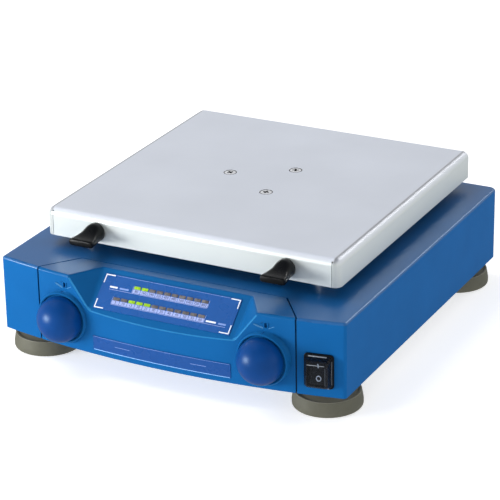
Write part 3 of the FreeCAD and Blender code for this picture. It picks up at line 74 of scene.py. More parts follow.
SWITCH_Z = 35.6
FOOT_X = 112.0
FOOT_FRONT_Y = -102.0
FOOT_REAR_Y = 126.0
LOCK_X = 75.2
LOCK_Z = 88.8
APRON_FRONT_Y = -88.9
SCREW_RING = 28.0
SCREW_CENTRE = (-1.2, 27.6)
TRAY_TOP = 100.5


# ---- materials

class Look:
    """A procedural material: one Principled shader and the nodes that feed it."""

    def __init__(self, name, color, roughness, metallic=0.0, **sockets):
        self.name = name
        self.material = bpy.data.materials.new(name)
        self.material.use_nodes = True
        self.tree = self.material.node_tree
        self.shader = self.tree.nodes["Principled BSDF"]
        self.color = color
        self.set("Base Color", (*color, 1.0))
        self.set("Roughness", roughness)
        self.set("Metallic", metallic)
        for socket, number in sockets.items():
            self.set(socket.replace("_", " "), number)
        self.where = self.tree.nodes.new("ShaderNodeTexCoord").outputs["Object"]
        self.height = None

    def set(self, socket, number):
        """Give one of the shader's own sockets an even number or colour."""
        self.shader.inputs[socket].default_value = number

    def node(self, kind, output, inputs, **settings):
        """Add a node; inputs maps a socket to a number or to another node's output."""
        made = self.tree.nodes.new(kind)
        for key, choice in settings.items():
            setattr(made, key, choice)
        for key, source in inputs.items():
            if isinstance(source, bpy.types.NodeSocket):
                self.tree.links.new(source, made.inputs[key])
            else:
                made.inputs[key].default_value = source
        return made.outputs[output]

    def feed(self, socket, source):
        """Link another node's output to one of the shader's sockets."""
        self.tree.links.new(source, self.shader.inputs[socket])

    def noise(self, scale, detail=3.0, stretch=None):
        """Soft clouds, drawn out along an axis where stretch is small."""
        vector = self.where
        if stretch:
            vector = self.node("ShaderNodeMapping", "Vector", {"Vector": vector, "Scale": stretch})
        return self.node("ShaderNodeTexNoise", "Fac", {
            "Vector": vector, "Scale": scale, "Detail": detail})

    def cells(self, scale):
        """Pebbles: the distance to the nearest of many scattered points."""
        return self.node("ShaderNodeTexVoronoi", "Distance", {"Vector": self.where, "Scale": scale})

    def facing(self, axis):
        """How far the surface faces along X, Y or Z, from -1 to 1."""
        normal = self.node("ShaderNodeNewGeometry", "Normal", {})
        return self.node("ShaderNodeSeparateXYZ", axis, {"Vector": normal})

    def levels(self, fac, low, high, start=0.3, end=0.7):
        """Stretch the range from start to end over low to high."""
        return self.node("ShaderNodeMapRange", "Result", {
            "Value": fac, "From Min": start, "From Max": end, "To Min": low, "To Max": high})

    def mix(self, share, first, second, blend_type="MIX"):
        """Mix two colours, by socket number: 0 share, 6 and 7 colours, 2 the colour that comes out."""
        return self.node("ShaderNodeMix", 2, {0: share, 6: first, 7: second},
                         data_type="RGBA", blend_type=blend_type)

    def tint(self, fac, dark, light):
        """Colour that runs between two multiples of the base colour."""
        shades = [(*[channel * factor for channel in self.color], 1.0) for factor in (dark, light)]
        self.feed("Base Color", self.mix(self.levels(fac, 0.0, 1.0), *shades))

    def gloss(self, fac, low, high, start=0.3, end=0.7):
        """Roughness that runs from low to high."""
        self.feed("Roughness", self.levels(fac, low, high, start, end))

    def bump(self, fac, depth_mm):
        """Relief of the given depth on top of what is already there."""
        inputs = {"Height": fac, "Strength": 1.0, "Distance": depth_mm * MM}
        if self.height is not None:
            inputs["Normal"] = self.height
        self.height = self.node("ShaderNodeBump", "Normal", inputs)
        self.feed("Normal", self.height)

    def blend(self, share, first, second):
        """Show a blend of two shaders, by socket number: 0 share, 1 and 2 the shaders."""
        blended = self.node("ShaderNodeMixShader", "Shader", {0: share, 1: first, 2: second})
        self.tree.links.new(blended, self.tree.nodes["Material Output"].inputs["Surface"])


def painted(name, color, level_sheen=False):
    """Satin powder coat: fine orange peel, faint cloudiness and, if asked, a painted sheen: more shine on
    level faces and their edges than on upright ones.
    """
    look = Look(name, color, 0.30, Specular_IOR_Level=0.05, Specular_Tint=(0.78, 0.91, 1.0, 1.0))
    look.tint(look.noise(38.0, 4.0), 0.96, 1.04)
    look.gloss(look.noise(45.0, 2.0), 0.27, 0.33, 0.1, 0.9)
    look.bump(look.noise(420.0, 1.0), 0.003)
    if level_sheen:
        # painted sheen: how strongly the paint reflects is set by the way each face points, strong on
        # level faces and their rounded edges, almost none on upright ones
        look.feed("Specular IOR Level", look.levels(look.facing("Z"), 0.03, 0.95, 0.10, 0.55))
    return look


def brushed(name, color, roughness, grain=(1.0, 60.0, 60.0), depth=0.004, metallic=1.0, spread=0.05):
    """Metal with a directional grain."""
    look = Look(name, color, roughness, metallic)
    streaks = look.noise(60.0, 6.0, grain)
    look.tint(look.noise(14.0, 3.0), 0.97, 1.03)
    look.gloss(streaks, roughness - spread, roughness + spread)
    look.bump(streaks, depth)
    return look


def moulded(name, color, roughness, grain=900.0, depth=0.02, spread=0.05, **sockets):
    """Moulded plastic or rubber with a spark-eroded texture."""
    look = Look(name, color, roughness, **sockets)
    look.tint(look.noise(60.0, 4.0), 0.9, 1.1)
    look.gloss(look.noise(140.0, 3.0), roughness - spread, roughness + spread)
    look.bump(look.noise(grain, 2.0), depth)
    return look


def tray_sheet(name, color, upright_color):
    """Sheet steel: level face bluer and lighter than the plainer aprons as a painted reflection of the
    surround, and a darker line painted along the side bends as painted shade.
    """
    look = brushed(name, color, 0.36, (1.0, 45.0, 45.0), 0.0006, 0.35, 0.03)
    grained = look.shader.inputs["Base Color"].links[0].from_socket
    upward = look.facing("Z")
    # painted reflection: the level face takes a bluer, lighter colour than the upright aprons
    sheet = look.mix(look.levels(upward, 0.0, 1.0, 0.2, 0.8), (*upright_color, 1.0), grained)
    # painted shade: a darker, warmer line along the side bends, set by how far the surface faces sideways
    slant = look.node("ShaderNodeMath", "Value", {0: look.facing("X")}, operation="ABSOLUTE")
    painted_bend_shade = look.tree.nodes.new("ShaderNodeValToRGB")
    look.tree.links.new(slant, painted_bend_shade.inputs["Fac"])
    painted_bend_shade.color_ramp.elements[0].color = (1.0, 1.0, 1.0, 1.0)
    for spot, share in ((0.06, 0.93), (0.22, 0.42), (0.42, 0.60), (0.66, 1.0)):
        painted_bend_shade.color_ramp.elements.new(spot).color = (share, share * 0.99, share * 0.97, 1.0)
    on_bend = look.levels(upward, 0.35, 1.0, 0.1, 0.6)
    look.feed("Base Color", look.mix(on_bend, sheet, painted_bend_shade.outputs["Color"], "MULTIPLY"))
    return look


def film(name, color):
    """Printed polyester film: even colour under a faintly dimpled satin face."""
    look = Look(name, color, 0.28, Specular_IOR_Level=0.3)
    look.tint(look.noise(240.0, 2.0), 0.97, 1.03)
    look.gloss(look.noise(90.0, 2.0), 0.25, 0.31)
    look.bump(look.noise(700.0, 1.0), 0.001)
    return look


def ink(name, color):
    """Screen-printed ink with slightly uneven cover."""
    look = Look(name, color, 0.4)
    look.tint(look.noise(900.0, 2.0), 0.94, 1.04)
    look.bump(look.noise(2400.0, 1.0), 0.004)
    return look


def lamp(name, color, roughness, clouds, dark, light, **sockets):
    """Indicator window: cloudy coloured resin with a pebbled face."""
    look = Look(name, color, roughness, **sockets)
    look.tint(look.noise(clouds), dark, light)
    look.bump(look.cells(1500.0), 0.02)
    return look


def clear_cover(name, color):
    """Clear moulding: dark and glossy where it is seen edge on, see-through where it is faced."""
    look = Look(name, color, 0.10, Specular_IOR_Level=0.8)
    look.gloss(look.noise(160.0), 0.06, 0.13)
    look.bump(look.noise(230.0, 2.0), 0.03)
    edge_on = look.node("ShaderNodeLayerWeight", "Facing", {"Blend": 0.35})
    solid_share = look.levels(edge_on, 0.16, 0.80, 0.05, 0.95)
    see_through = look.node("ShaderNodeBsdfTransparent", "BSDF", {"Color": (0.90, 0.93, 0.97, 1.0)})
    look.blend(solid_share, see_through, look.shader.outputs["BSDF"])
    return look


def tube_glass(name, color):
    """Thin clear glass, a little uneven."""
    look = Look(name, color, 0.04, Transmission_Weight=0.9, IOR=1.5)
    look.gloss(look.noise(300.0, 2.0), 0.02, 0.08)
    return look


LOOKS = {look.name: look for look in (
    painted("housing_paint", (0.0060, 0.100, 0.305), level_sheen=True),
    painted("panel_paint", (0.0065, 0.101, 0.303), level_sheen=True),
    painted("bay_paint", (0.0065, 0.104, 0.300)),
    # paler paint on the rounded edges of the bay: a painted highlight
    painted("rim_painted_highlight", (0.0250, 0.200, 0.450)),
    # paler paint on the lower walls of the marks: a painted highlight
    painted("mark_painted_highlight", (0.110, 0.340, 0.640)),
    # darker paint on the upper walls of the marks: a painted shade
    painted("mark_shade", (0.0010, 0.022, 0.100)),
    moulded("knob_plastic", (0.0008, 0.044, 0.200), 0.32, 1100.0, 0.004, 0.02,
            Specular_IOR_Level=0.28, Specular_Tint=(0.60, 0.82, 1.0, 1.0)),
    tray_sheet("tray_steel", (0.81, 0.85, 0.93), (0.72, 0.77, 0.76)),
    brushed("screw_steel", (0.90, 0.91, 0.94), 0.28, (1.0, 8.0, 1.0), 0.002, 0.45),
    brushed("plated_steel", (0.62, 0.63, 0.64), 0.34, (1.0, 6.0, 1.0), 0.003),
    brushed("machined_steel", (0.52, 0.52, 0.54), 0.28, (6.0, 6.0, 60.0), 0.003),
    moulded("cast_aluminium", (0.55, 0.56, 0.57), 0.45, 700.0, 0.05, 0.06, Metallic=1.0),
    brushed("bearing_steel", (0.80, 0.80, 0.82), 0.12, (6.0, 6.0, 60.0), 0.001),
    moulded("black_plastic", (0.002, 0.0025, 0.0032), 0.30, 1300.0, 0.010, 0.05, Specular_IOR_Level=0.22),
    moulded("rocker_plastic", (0.008, 0.008, 0.009), 0.26, 1500.0, 0.004, 0.03),
    moulded("foot_rubber", (0.110, 0.109, 0.080), 0.62, 1600.0, 0.03, 0.06, Specular_IOR_Level=0.35),
    # lighter rubber colour for the feet's tops: painted light where the housing shades them
    moulded("foot_top_painted_light", (0.215, 0.208, 0.160), 0.70, 1600.0, 0.03, 0.06),
    moulded("belt_rubber", (0.018, 0.018, 0.018), 0.7, 900.0, 0.04, 0.06),
    film("display_film", (0.012, 0.088, 0.325)),
    film("nameplate_film", (0.008, 0.068, 0.270)),
    moulded("circuit_board", (0.015, 0.16, 0.06), 0.35, 800.0, 0.02, 0.05),
    moulded("transformer_core", (0.16, 0.10, 0.06), 0.5, 500.0, 0.05, 0.06),
    brushed("brass", (0.72, 0.52, 0.25), 0.3, (6.0, 6.0, 60.0), 0.003),
    brushed("contact_metal", (0.75, 0.73, 0.68), 0.22, (1.0, 6.0, 1.0), 0.002),
    clear_cover("clear_boot", (0.010, 0.011, 0.014)),
    tube_glass("fuse_glass", (0.9, 0.95, 0.95)),
)}
LOOKS["lamp_window"] = lamp("lamp_unlit", (0.120, 0.110, 0.110), 0.28, 420.0, 0.6, 1.5)
LIT_LAMP = lamp("lamp_lit", (0.24, 0.44, 0.012), 0.25, 700.0, 0.6, 1.25,
                Emission_Strength=0.16, Emission_Color=(0.50, 0.80, 0.01, 1.0))
# pale glossy rods along the switch cover's edges: painted highlights
LIT_EDGE = moulded("boot_painted_highlight", (0.27, 0.30, 0.34), 0.18, 900.0, 0.004, 0.04)
WHITE_INK = ink("white_ink", (0.80, 0.84, 0.92))
PALE_INK = ink("pale_ink", (0.36, 0.44, 0.78))
SOFT_INK = ink("soft_ink", (0.20, 0.32, 0.68))
LINE_INK = ink("line_ink", (0.22, 0.46, 0.86))
DARK_INK = ink("dark_ink", (0.016, 0.030, 0.150))

for row in frame["record"]["subparts"]:
    node = nodes[row["node"]]
    node.data.materials.clear()
    node.data.materials.append(LOOKS[row["material_slot"]].material)


# ---- mesh helpers

def columns(right, up, out, origin):
    """Matrix with the given axes; the origin is in millimetres."""
    matrix = Matrix((right, up, out)).transposed().to_4x4()
    matrix.translation = Vector(origin) * MM
    return matrix


def front_y(x):
    """Y of the bowed front at x."""
    return BOW_CENTRE_Y - math.sqrt(BOW_RADIUS ** 2 - x ** 2)


def on_front(x, z):
    """Point of the bowed front at x and height z."""
    return Vector((x, front_y(x), z))


def out_of_front(x):
    """Direction straight out of the bowed front at x."""
    return Vector((x, front_y(x) - BOW_CENTRE_Y, 0.0)).normalized()


def front_frame(x, z):
    """Local x along the bowed front, y up, z out of it."""
    up = Vector((0.0, 0.0, 1.0))
    out = out_of_front(x)
    return columns(up.cross(out), up, out, on_front(x, z))


def bay_frame():
    """Local x to the right, y up the slope of the display bay, z out of it."""
    up = Vector((0.0, BAY_REAR_Y - BAY_FRONT_Y, HOUSING_TOP - BAY_LIP_Z)).normalized()
    right = Vector((1.0, 0.0, 0.0))
    return columns(right, up, right.cross(up), (0.0, BAY_REAR_Y, HOUSING_TOP))


def towards_front(x, y, z):
    """Local z points to the front, x to the right, y up."""
    return columns(Vector((1, 0, 0)), Vector((0, 0, 1)), Vector((0, -1, 0)), (x, y, z))


def upwards(x, y, z):
    """Local axes as the object's own, from a point in millimetres."""
    return Matrix.Translation(Vector((x, y, z)) * MM)


def turned(radius, angle, level=0.0):
    """Point at a distance from the local z axis, an angle round it and a level along it."""
    return Vector((radius * math.cos(angle), radius * math.sin(angle), level))


def rounded(points):
    """Corners (x, y, radius) of a line, each turned into an arc; ends keep their place."""
    steps = 5
    line = []
    for index, (x, y, radius) in enumerate(points):
        corner = Vector((x, y))
        if radius <= 0 or index in (0, len(points) - 1):
            line.append(corner)
            continue
        back = Vector(points[index - 1][:2]) - corner
        ahead = Vector(points[index + 1][:2]) - corner
        half = back.angle(ahead) / 2
        reach = min(radius / math.tan(half), back.length * 0.499, ahead.length * 0.499)
        start = corner + back.normalized() * reach
        end = corner + ahead.normalized() * reach
        size = reach * math.tan(half)
        middle = corner + (back.normalized() + ahead.normalized()).normalized() * (
            size / math.sin(half))
        turn = (start - middle).angle_signed(end - middle)
        for step in range(steps + 1):
            spin = Matrix.Rotation(-turn * step / steps, 2)
            line.append(middle + spin @ (start - middle))
    return [tuple(point) for point in line]


def box_ring(width, height, radius, level, steps, centre=(0.0, 0.0)):
    """Rounded rectangle as a ring of points at one level."""
    radius = min(radius, width / 2 - 1e-3, height / 2 - 1e-3)
    ring = []
    for quarter, (sx, sy) in enumerate(((1, 1), (-1, 1), (-1, -1), (1, -1))):
        cx = centre[0] + sx * (width / 2 - radius)
        cy = centre[1] + sy * (height / 2 - radius)
        for step in range(steps + 1):
            angle = math.radians(90.0 * (quarter + step / steps))
            ring.append(Vector((cx, cy, 0.0)) + turned(radius, angle, level))
    return ring


def oval_ring(half_x, half_y, power, level, rise):
    """Superellipse ring round a raised centre: power 2 is an ellipse, more is squarer."""
    count = 56
    ring = []
    for index in range(count):
        angle = 2 * math.pi * index / count
        across, up = [math.copysign(abs(part) ** (2 / power), part)
                      for part in (math.cos(angle), math.sin(angle))]
        ring.append(Vector((half_x * across, half_y * up + rise, level)))
    return ring


def add_rows(mesh, rings, place):
    """Vertices of each ring of points, in millimetres of the local frame."""
    return [[mesh.verts.new(place @ (point * MM)) for point in ring] for ring in rings]


def add_skin(mesh, rows, material=0):
    """Faces from each row of vertices to the next; every row is a ring of the same length."""
    for low, high in zip(rows, rows[1:]):
        for index in range(len(low)):
            after = (index + 1) % len(low)
            face = mesh.faces.new((low[index], low[after], high[after], high[index]))
            face.material_index = material


def add_loft(mesh, rings, place, start=True, end=True, material=0):
    """Skin over rings of points, with optional end caps."""
    rows = add_rows(mesh, rings, place)
    add_skin(mesh, rows, material)
    if start:
        mesh.faces.new(rows[0][::-1]).material_index = material
    if end:
        mesh.faces.new(rows[-1]).material_index = material


def add_lathe(mesh, profile, place, count):
    """Turn a profile of (radius, height) round the local z axis; zero radii close it."""
    rings = []
    for radius, height in profile:
        steps = 1 if radius < 1e-6 else count
        rings.append([turned(radius, 2 * math.pi * step / count, height) for step in range(steps)])
    rows = add_rows(mesh, rings, place)
    for low, high in zip(rows, rows[1:]):
        for index in range(count):
            after = (index + 1) % count
            corners = [low[index % len(low)], low[after % len(low)],
                       high[after % len(high)], high[index % len(high)]]
            unique = list(dict.fromkeys(corners))
            if len(unique) > 2:
                mesh.faces.new(unique)


def add_plate(mesh, width, height, radius, low, high, place, centre=(0, 0), edge=0.0, material=0):
    """Rounded plate from one level to another with a softened upper edge."""
    steps = 3
    rings = [box_ring(width, height, radius, low, steps, centre)]
    if edge > 0:
        for step in range(steps + 1):
            angle = math.pi / 2 * step / steps
            inset = edge * (1 - math.cos(angle))
            rings.append(box_ring(width - 2 * inset, height - 2 * inset, radius - inset,
                                  high - edge + edge * math.sin(angle), steps, centre))
    else:
        rings.append(box_ring(width, height, radius, high, steps, centre))
    add_loft(mesh, rings, place, material=material)


def add_rod(mesh, start, end, thick, place):
    """Round rod with domed ends between two points of the local frame."""
    way = Vector(end) - Vector(start)
    turn = way.to_track_quat("Z", "Y").to_matrix().to_4x4()
    length = way.length
    profile = [(0.0, 0.0), (thick * 0.7, thick * 0.3), (thick, thick),
               (thick, length - thick), (thick * 0.7, length - thick * 0.3), (0.0, length)]
    add_lathe(mesh, profile, place @ upwards(*start) @ turn, 12)


def add_front_strip(mesh, x0, x1, z0, z1, low, high):
    """Bar that follows the bowed front from the level low to the level high over its surface."""
    step_length = 3.0
    count = max(2, int(abs(x1 - x0) / step_length))
    rings = []
    for step in range(count + 1):
        x = x0 + (x1 - x0) * step / count
        rings.append([on_front(x, z) + out_of_front(x) * rise
                      for rise, z in ((low, z0), (high, z0), (high, z1), (low, z1))])
    add_loft(mesh, rings, Matrix.Identity(4))


def mesh_data(name, mesh):
    """Turn a bmesh into mesh data."""
    data = bpy.data.meshes.new(name)
    mesh.to_mesh(data)
    mesh.free()
    return data


def add_object(name, data):
    """New object of the scene that shows the given data."""
    made = bpy.data.objects.new(name, data)
    bpy.context.scene.collection.objects.link(made)
    return made


def finish_piece(name, mesh, body, slot, looks=(), replaced=(), sharp=35.0):
    """Turn a bmesh into a piece that rides on a body, in its slot's look unless others are given."""
    bmesh.ops.recalc_face_normals(mesh, faces=mesh.faces)
    data = mesh_data(name, mesh)
    data.polygons.foreach_set("use_smooth", [True] * len(data.polygons))
    data.set_sharp_from_angle(angle=math.radians(sharp))
    for look in looks or (LOOKS[slot],):
        data.materials.append(look.material)
    piece = add_object(name, data)
    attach(piece, body)
    if replaced:
        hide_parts(*replaced)
    return piece


# ---- display

SPEED_ROW = {"count": 10, "left": -29.8, "pitch": 5.92, "slope": 11.1, "lit": (0, 1),
             "step": 80, "node": "speed_lamps"}
TIMER_ROW = {"count": 12, "left": -42.3, "pitch": 6.08, "slope": 22.0, "lit": (2, 3, 4),
             "step": 5, "node": "timer_lamps"}
WINDOW_HEIGHT = 2.2
WINDOW_GAP = 1.0
FIELD_GAP = 0.25
FIELD_HEIGHT = 2.75
PRINT_RISE = 0.05


def window_spots(row):
    """Number and x of each window in a row."""
    for number in range(row["count"]):
        yield number, row["left"] + (number + 0.5) * row["pitch"]


def field_span(row):
    """Distances down the slope of the upper and lower edge of a row's number fields."""
    top = row["slope"] + WINDOW_HEIGHT / 2 + FIELD_GAP
    return top, top + FIELD_HEIGHT


def make_lamps(row):
    """Row of indicator windows: a moulded lens with a softened edge in each."""
    mesh = bmesh.new()
    lens_top = LABEL_FACE + 0.38
    for number, x in window_spots(row):
        add_plate(mesh, row["pitch"] - WINDOW_GAP, WINDOW_HEIGHT, 0.35, LABEL_FACE, lens_top,
                  bay_frame(), (x, -row["slope"]), edge=0.14, material=0 if number in row["lit"] else 1)
    finish_piece(row["node"] + "_windows", mesh, "root", "lamp_window",
                 (LIT_LAMP, LOOKS["lamp_window"]), (row["node"],))


def make_display_print():
    """Printed parts of the label: corner brackets, rules, number fields, caption bars."""
    white = bmesh.new()
    pale = bmesh.new()
    soft = bmesh.new()
    place = bay_frame()
    thin = (LABEL_FACE, LABEL_FACE + PRINT_RISE)

    def bar(mesh, x0, x1, s0, s1, radius=0.05):
        """Bar between two places across and two distances down the slope."""
        add_plate(mesh, x1 - x0, s1 - s0, radius, *thin, place, ((x0 + x1) / 2, -(s0 + s1) / 2))

    left = -54.2
    right = 51.8
    top = 4.7
    bottom = 31.0
    arm_x = 7.4
    arm_s = 6.8
    line = 0.8
    for x, side in ((left, 1), (right, -1)):
        for s, down in ((top, 1), (bottom, -1)):
            bend_x = x + side * line
            bend_s = s + down * line
            end_x = x + side * arm_x
            end_s = s + down * arm_s
            outline = [(x, s), (end_x, s), (end_x, bend_s), (bend_x, bend_s), (bend_x, end_s), (x, end_s)]
            rings = [[Vector((px, -ps, level)) for px, ps in outline] for level in thin]
            add_loft(white, rings, place)
    for row, caption_x, unit_x in ((SPEED_ROW, (-48.0, -41.8), (-40.2, -33.0)),
                                   (TIMER_ROW, (32.0, 39.8), (41.6, 47.6))):
        field_top, field_bottom = field_span(row)
        half_field = row["pitch"] / 2 - 0.18
        for _number, x in window_spots(row):
            bar(pale, x - half_field, x + half_field, field_top, field_bottom)
        row_right = row["left"] + row["count"] * row["pitch"]
        rule_left = min(caption_x[0], row["left"])
        rule_right = max(unit_x[1], row_right)
        bar(pale, rule_left, rule_right, field_bottom + 0.35, field_bottom + 0.6)
        bar(white, *caption_x, field_bottom - 2.1, field_bottom - 0.8, 0.4)
        bar(soft, *unit_x, field_bottom - 2.0, field_bottom - 0.7, 0.4)
        for edge in (row["left"] - 0.2, row_right + 0.2):
            bar(pale, edge - 0.12, edge + 0.12, row["slope"] - 1.4, field_bottom)
    bar(soft, left + arm_x + 1.0, right - arm_x - 1.0, top, top + 0.25)
    finish_piece("display_print_white", white, "root", "display_film", (WHITE_INK,))
    finish_piece("display_print_fields", pale, "root", "display_film", (PALE_INK,))
    finish_piece("display_print_rules", soft, "root", "display_film", (SOFT_INK,))


def add_text(mesh, text, size, place):
    """Flat numerals, centred on the local origin; size is the height of a line in millimetres."""
    curve = bpy.data.curves.new("numerals", "FONT")
    curve.body = text
    curve.size = size * MM
    curve.align_x = "CENTER"
    curve.align_y = "CENTER"
    curve.extrude = 0.015 * MM
    curve.resolution_u = 3
    holder = add_object("numerals", curve)
    bpy.context.view_layer.update()
    data = bpy.data.meshes.new_from_object(holder)
    data.transform(place)
    mesh.from_mesh(data)
    bpy.data.objects.remove(holder)
    bpy.data.curves.remove(curve)
    bpy.data.meshes.remove(data)


def make_display_numbers():
    """Plain scale numbers in the fields under the windows."""
    mesh = bmesh.new()
    over_print = LABEL_FACE + 0.07
    for row in (SPEED_ROW, TIMER_ROW):
        field_middle = sum(field_span(row)) / 2
        for number, x in window_spots(row):
            spot = bay_frame() @ upwards(x, -field_middle, over_print)
            add_text(mesh, str((number + 1) * row["step"]), 2.7, spot)
    finish_piece("display_numbers", mesh, "root", "display_film", (DARK_INK,))


def make_nameplate_print():
    """Edge lines and two short rules on the strip along the front."""
    thin = (NAMEPLATE_FACE, NAMEPLATE_FACE + PRINT_RISE)
    light = bmesh.new()
    add_front_strip(light, -53.6, 53.6, 20.5, 21.0, *thin)
    faint = bmesh.new()
    add_front_strip(faint, -53.4, 53.4, 30.5, 30.7, *thin)
    for side in (-1, 1):
        add_front_strip(faint, side * 36.0, side * 24.0, 25.9, 26.2, *thin)
    finish_piece("nameplate_line", light, "root", "nameplate_film", (LINE_INK,))
    finish_piece("nameplate_rules", faint, "root", "nameplate_film", (SOFT_INK,))


PANEL_LOOKS = ("panel_paint", "rim_painted_highlight", "bay_paint", "mark_painted_highlight", "mark_shade")
MARK_Z = 63.9
MARKS = ((-86.2, -77.5, -71.6), (70.8, 80.0, 86.4))  # x of the left tip, the slot and the right tip


def bay_normals():
    """Directions out of the bay's floor, its right side and its left side."""
    sides = [Vector((-side, BAY_NARROWING - BAY_FLARE * BAY_FALL, BAY_FLARE)).normalized()
             for side in (1, -1)]
    return [Vector((0.0, -BAY_FALL, 1.0)).normalized()] + sides


def bay_rim():
    """Outer edge of the display bay as (point, inner normal, outer normal), one closed line."""
    upper_x = 73.3  # where the upper edge of the bay's side meets the front
    lower_x = 58.2  # where its lower edge does
    tip_near_x = 57.0
    lip_x = 55.4  # where the straight lip ends
    rear_reach = 1.6
    side_reach = 1.7
    floor_normal, side_normal, _other_side = bay_normals()
    top_normal = Vector((0.0, 0.0, 1.0))

    def floor_z(y):
        """Height of the bay's floor."""
        return HOUSING_TOP - (BAY_REAR_Y - y) * BAY_FALL

    def side_x(y, z):
        """X of the bay's right side."""
        return BAY_REAR_HALF - (BAY_REAR_Y - y) * BAY_NARROWING + (z - floor_z(y)) * BAY_FLARE

    def diagonal(z):
        """Point at height z that lies both on the bay's side and on the front."""
        x = (upper_x + lower_x) / 2
        for _turn in range(8):
            x = side_x(front_y(x), z)
        return on_front(x, z)

    def on_lip(x):
        """Point where the bay's floor meets the front."""
        return on_front(x, floor_z(front_y(x)))

    def corner(start, tip, end, outer):
        """Curve from start to end that bends towards tip."""
        spots = []
        for step in range(1, 6):
            t = step / 6
            spot = start * (1 - t) ** 2 + tip * 2 * t * (1 - t) + end * t ** 2
            inner = (floor_normal * (1 - t) + side_normal * t).normalized()
            spots.append((spot, inner, outer))
        return spots

    rear = Vector((BAY_REAR_HALF - rear_reach, BAY_REAR_Y, HOUSING_TOP))
    rear_tip = Vector((BAY_REAR_HALF, BAY_REAR_Y, HOUSING_TOP))
    side_y = BAY_REAR_Y - side_reach
    side_start = Vector((side_x(side_y, HOUSING_TOP), side_y, HOUSING_TOP))
    half = [(Vector((x, BAY_REAR_Y, HOUSING_TOP)), floor_normal, top_normal) for x in (0.0, 30.0)]
    half.append((rear, floor_normal, top_normal))
    half += corner(rear, rear_tip, side_start, top_normal)
    edge_y = front_y(upper_x) + TOP_EDGE_ROUND
    for step in range(9):
        y = side_start.y + (edge_y - side_start.y) * step / 8
        half.append((Vector((side_x(y, HOUSING_TOP), y, HOUSING_TOP)), side_normal, top_normal))
    for step in range(1, 6):
        angle = math.pi / 2 * step / 6
        y = edge_y - TOP_EDGE_ROUND * math.sin(angle)
        z = HOUSING_TOP - TOP_EDGE_ROUND * (1 - math.cos(angle))
        outer = out_of_front(upper_x) * math.sin(angle) + top_normal * math.cos(angle)
        half.append((Vector((side_x(y, z), y, z)), side_normal, outer.normalized()))
    high_z = HOUSING_TOP - TOP_EDGE_ROUND
    low_z = floor_z(front_y(lower_x)) + side_reach
    for step in range(9):
        spot = diagonal(high_z + (low_z - high_z) * step / 8)
        half.append((spot, side_normal, out_of_front(spot.x)))
    low = half[-1][0]
    tip_x = BAY_REAR_HALF - (BAY_REAR_Y - front_y(tip_near_x)) * BAY_NARROWING
    half += reversed(corner(on_lip(lip_x), on_lip(tip_x), low, out_of_front(tip_x)))
    for x in (lip_x, 44.0, 33.0, 22.0, 11.0, 0.0):
        half.append((on_lip(x), floor_normal, out_of_front(x)))
    mirrored = [tuple(Vector((-v.x, v.y, v.z)) for v in entry) for entry in half[-2:0:-1]]
    return half + mirrored


def add_rim_cutter(mesh, radius):
    """Ring that leaves the rim of the bay rounded to the given radius when it is cut away."""
    line = bay_rim()
    crest_height = 1.2
    clearance = 0.4
    rings = []
    for index, (spot, inner, outer) in enumerate(line):
        along = line[(index + 1) % len(line)][0] - line[index - 1][0]
        into = inner.cross(along).normalized()
        over = outer.cross(along).normalized()
        if into.dot(outer) > 0:
            into.negate()
        if over.dot(inner) > 0:
            over.negate()
        half = into.angle(over) / 2
        reach = radius / math.tan(half)
        middle = spot + (into + over).normalized() * radius / math.sin(half)
        start = spot + into * reach
        end = spot + over * reach
        arc = [(start - middle).slerp(end - middle, step / 5) + middle for step in range(6)]
        crest = spot + (inner + outer).normalized() * crest_height
        rings.append(arc + [end + outer * clearance, crest, start + inner * clearance])
    rows = add_rows(mesh, rings, Matrix.Identity(4))
    add_skin(mesh, rows + rows[:1])


def add_mark_cutter(mesh, corners, depth, lean=(0.0, 0.0, 0.0, 0.0)):
    """Prism through the bowed front over (x, z) corners that lean up or down on the way out."""
    outer = [(x, z + rise) for (x, z), rise in zip(corners, lean)]
    clear_of_face = -2.0
    rings = [[Vector((x, front_y(x) + level, z)) for x, z in ring]
             for ring, level in ((corners, depth), (outer, clear_of_face))]
    add_loft(mesh, rings, Matrix.Identity(4))


def mark_cutters():
    """Two sunk wedges with sloping walls and a deep slot between them above each knob."""
    mesh = bmesh.new()
    half = 2.1
    gap = 1.8
    lean = (-0.5, -2.0, 1.8)
    slot_half = 0.95
    slot_depth = 1.6
    slot_low = MARK_Z - 1.75
    slot_high = MARK_Z + 1.75
    for left_tip, slot_x, right_tip in MARKS:
        for tip, base, depth in ((left_tip, slot_x - gap, 0.9), (right_tip, slot_x + gap, 0.4)):
            corners = [(tip, MARK_Z), (base, MARK_Z - half), (base, MARK_Z + half)]
            add_mark_cutter(mesh, corners, depth, lean)
        left = slot_x - slot_half
        right = slot_x + slot_half
        corners = [(left, slot_low), (right, slot_low), (right, slot_high), (left, slot_high)]
        add_mark_cutter(mesh, corners, slot_depth)
    return mesh


def true_normals(data):
    """Give flat and bowed faces the direction of the surface they stand for.

    Lists the faces left over and the faces of the display bay.
    """
    flats = [Vector((0.0, 0.0, 1.0)), Vector((0.0, -1.0, 0.0))] + bay_normals()
    axis = Vector((0.0, BOW_CENTRE_Y, 0.0))
    bow_slack = 0.03
    bow_match = 0.99
    flat_match = 0.9995
    directions = [Vector(corner.vector) for corner in data.corner_normals]
    rest = []
    bay = []
    for face in data.polygons:
        near = max(flats, key=face.normal.dot)
        bowed = False
        for corner in face.loop_indices:
            out = data.vertices[data.loops[corner].vertex_index].co / MM - axis
            out.z = 0.0
            on_bow = abs(out.length - BOW_RADIUS) < bow_slack
            bowed = on_bow and face.normal.dot(out.normalized()) > bow_match
            if bowed:
                directions[corner] = out.normalized()
            elif face.normal.dot(near) > flat_match:
                directions[corner] = near
        if not bowed and face.normal.dot(near) <= flat_match:
            rest.append(face)
        elif not bowed and 0.1 < near.z < 0.9:
            bay.append(face)
    data.normals_split_custom_set(directions)
    return rest, bay


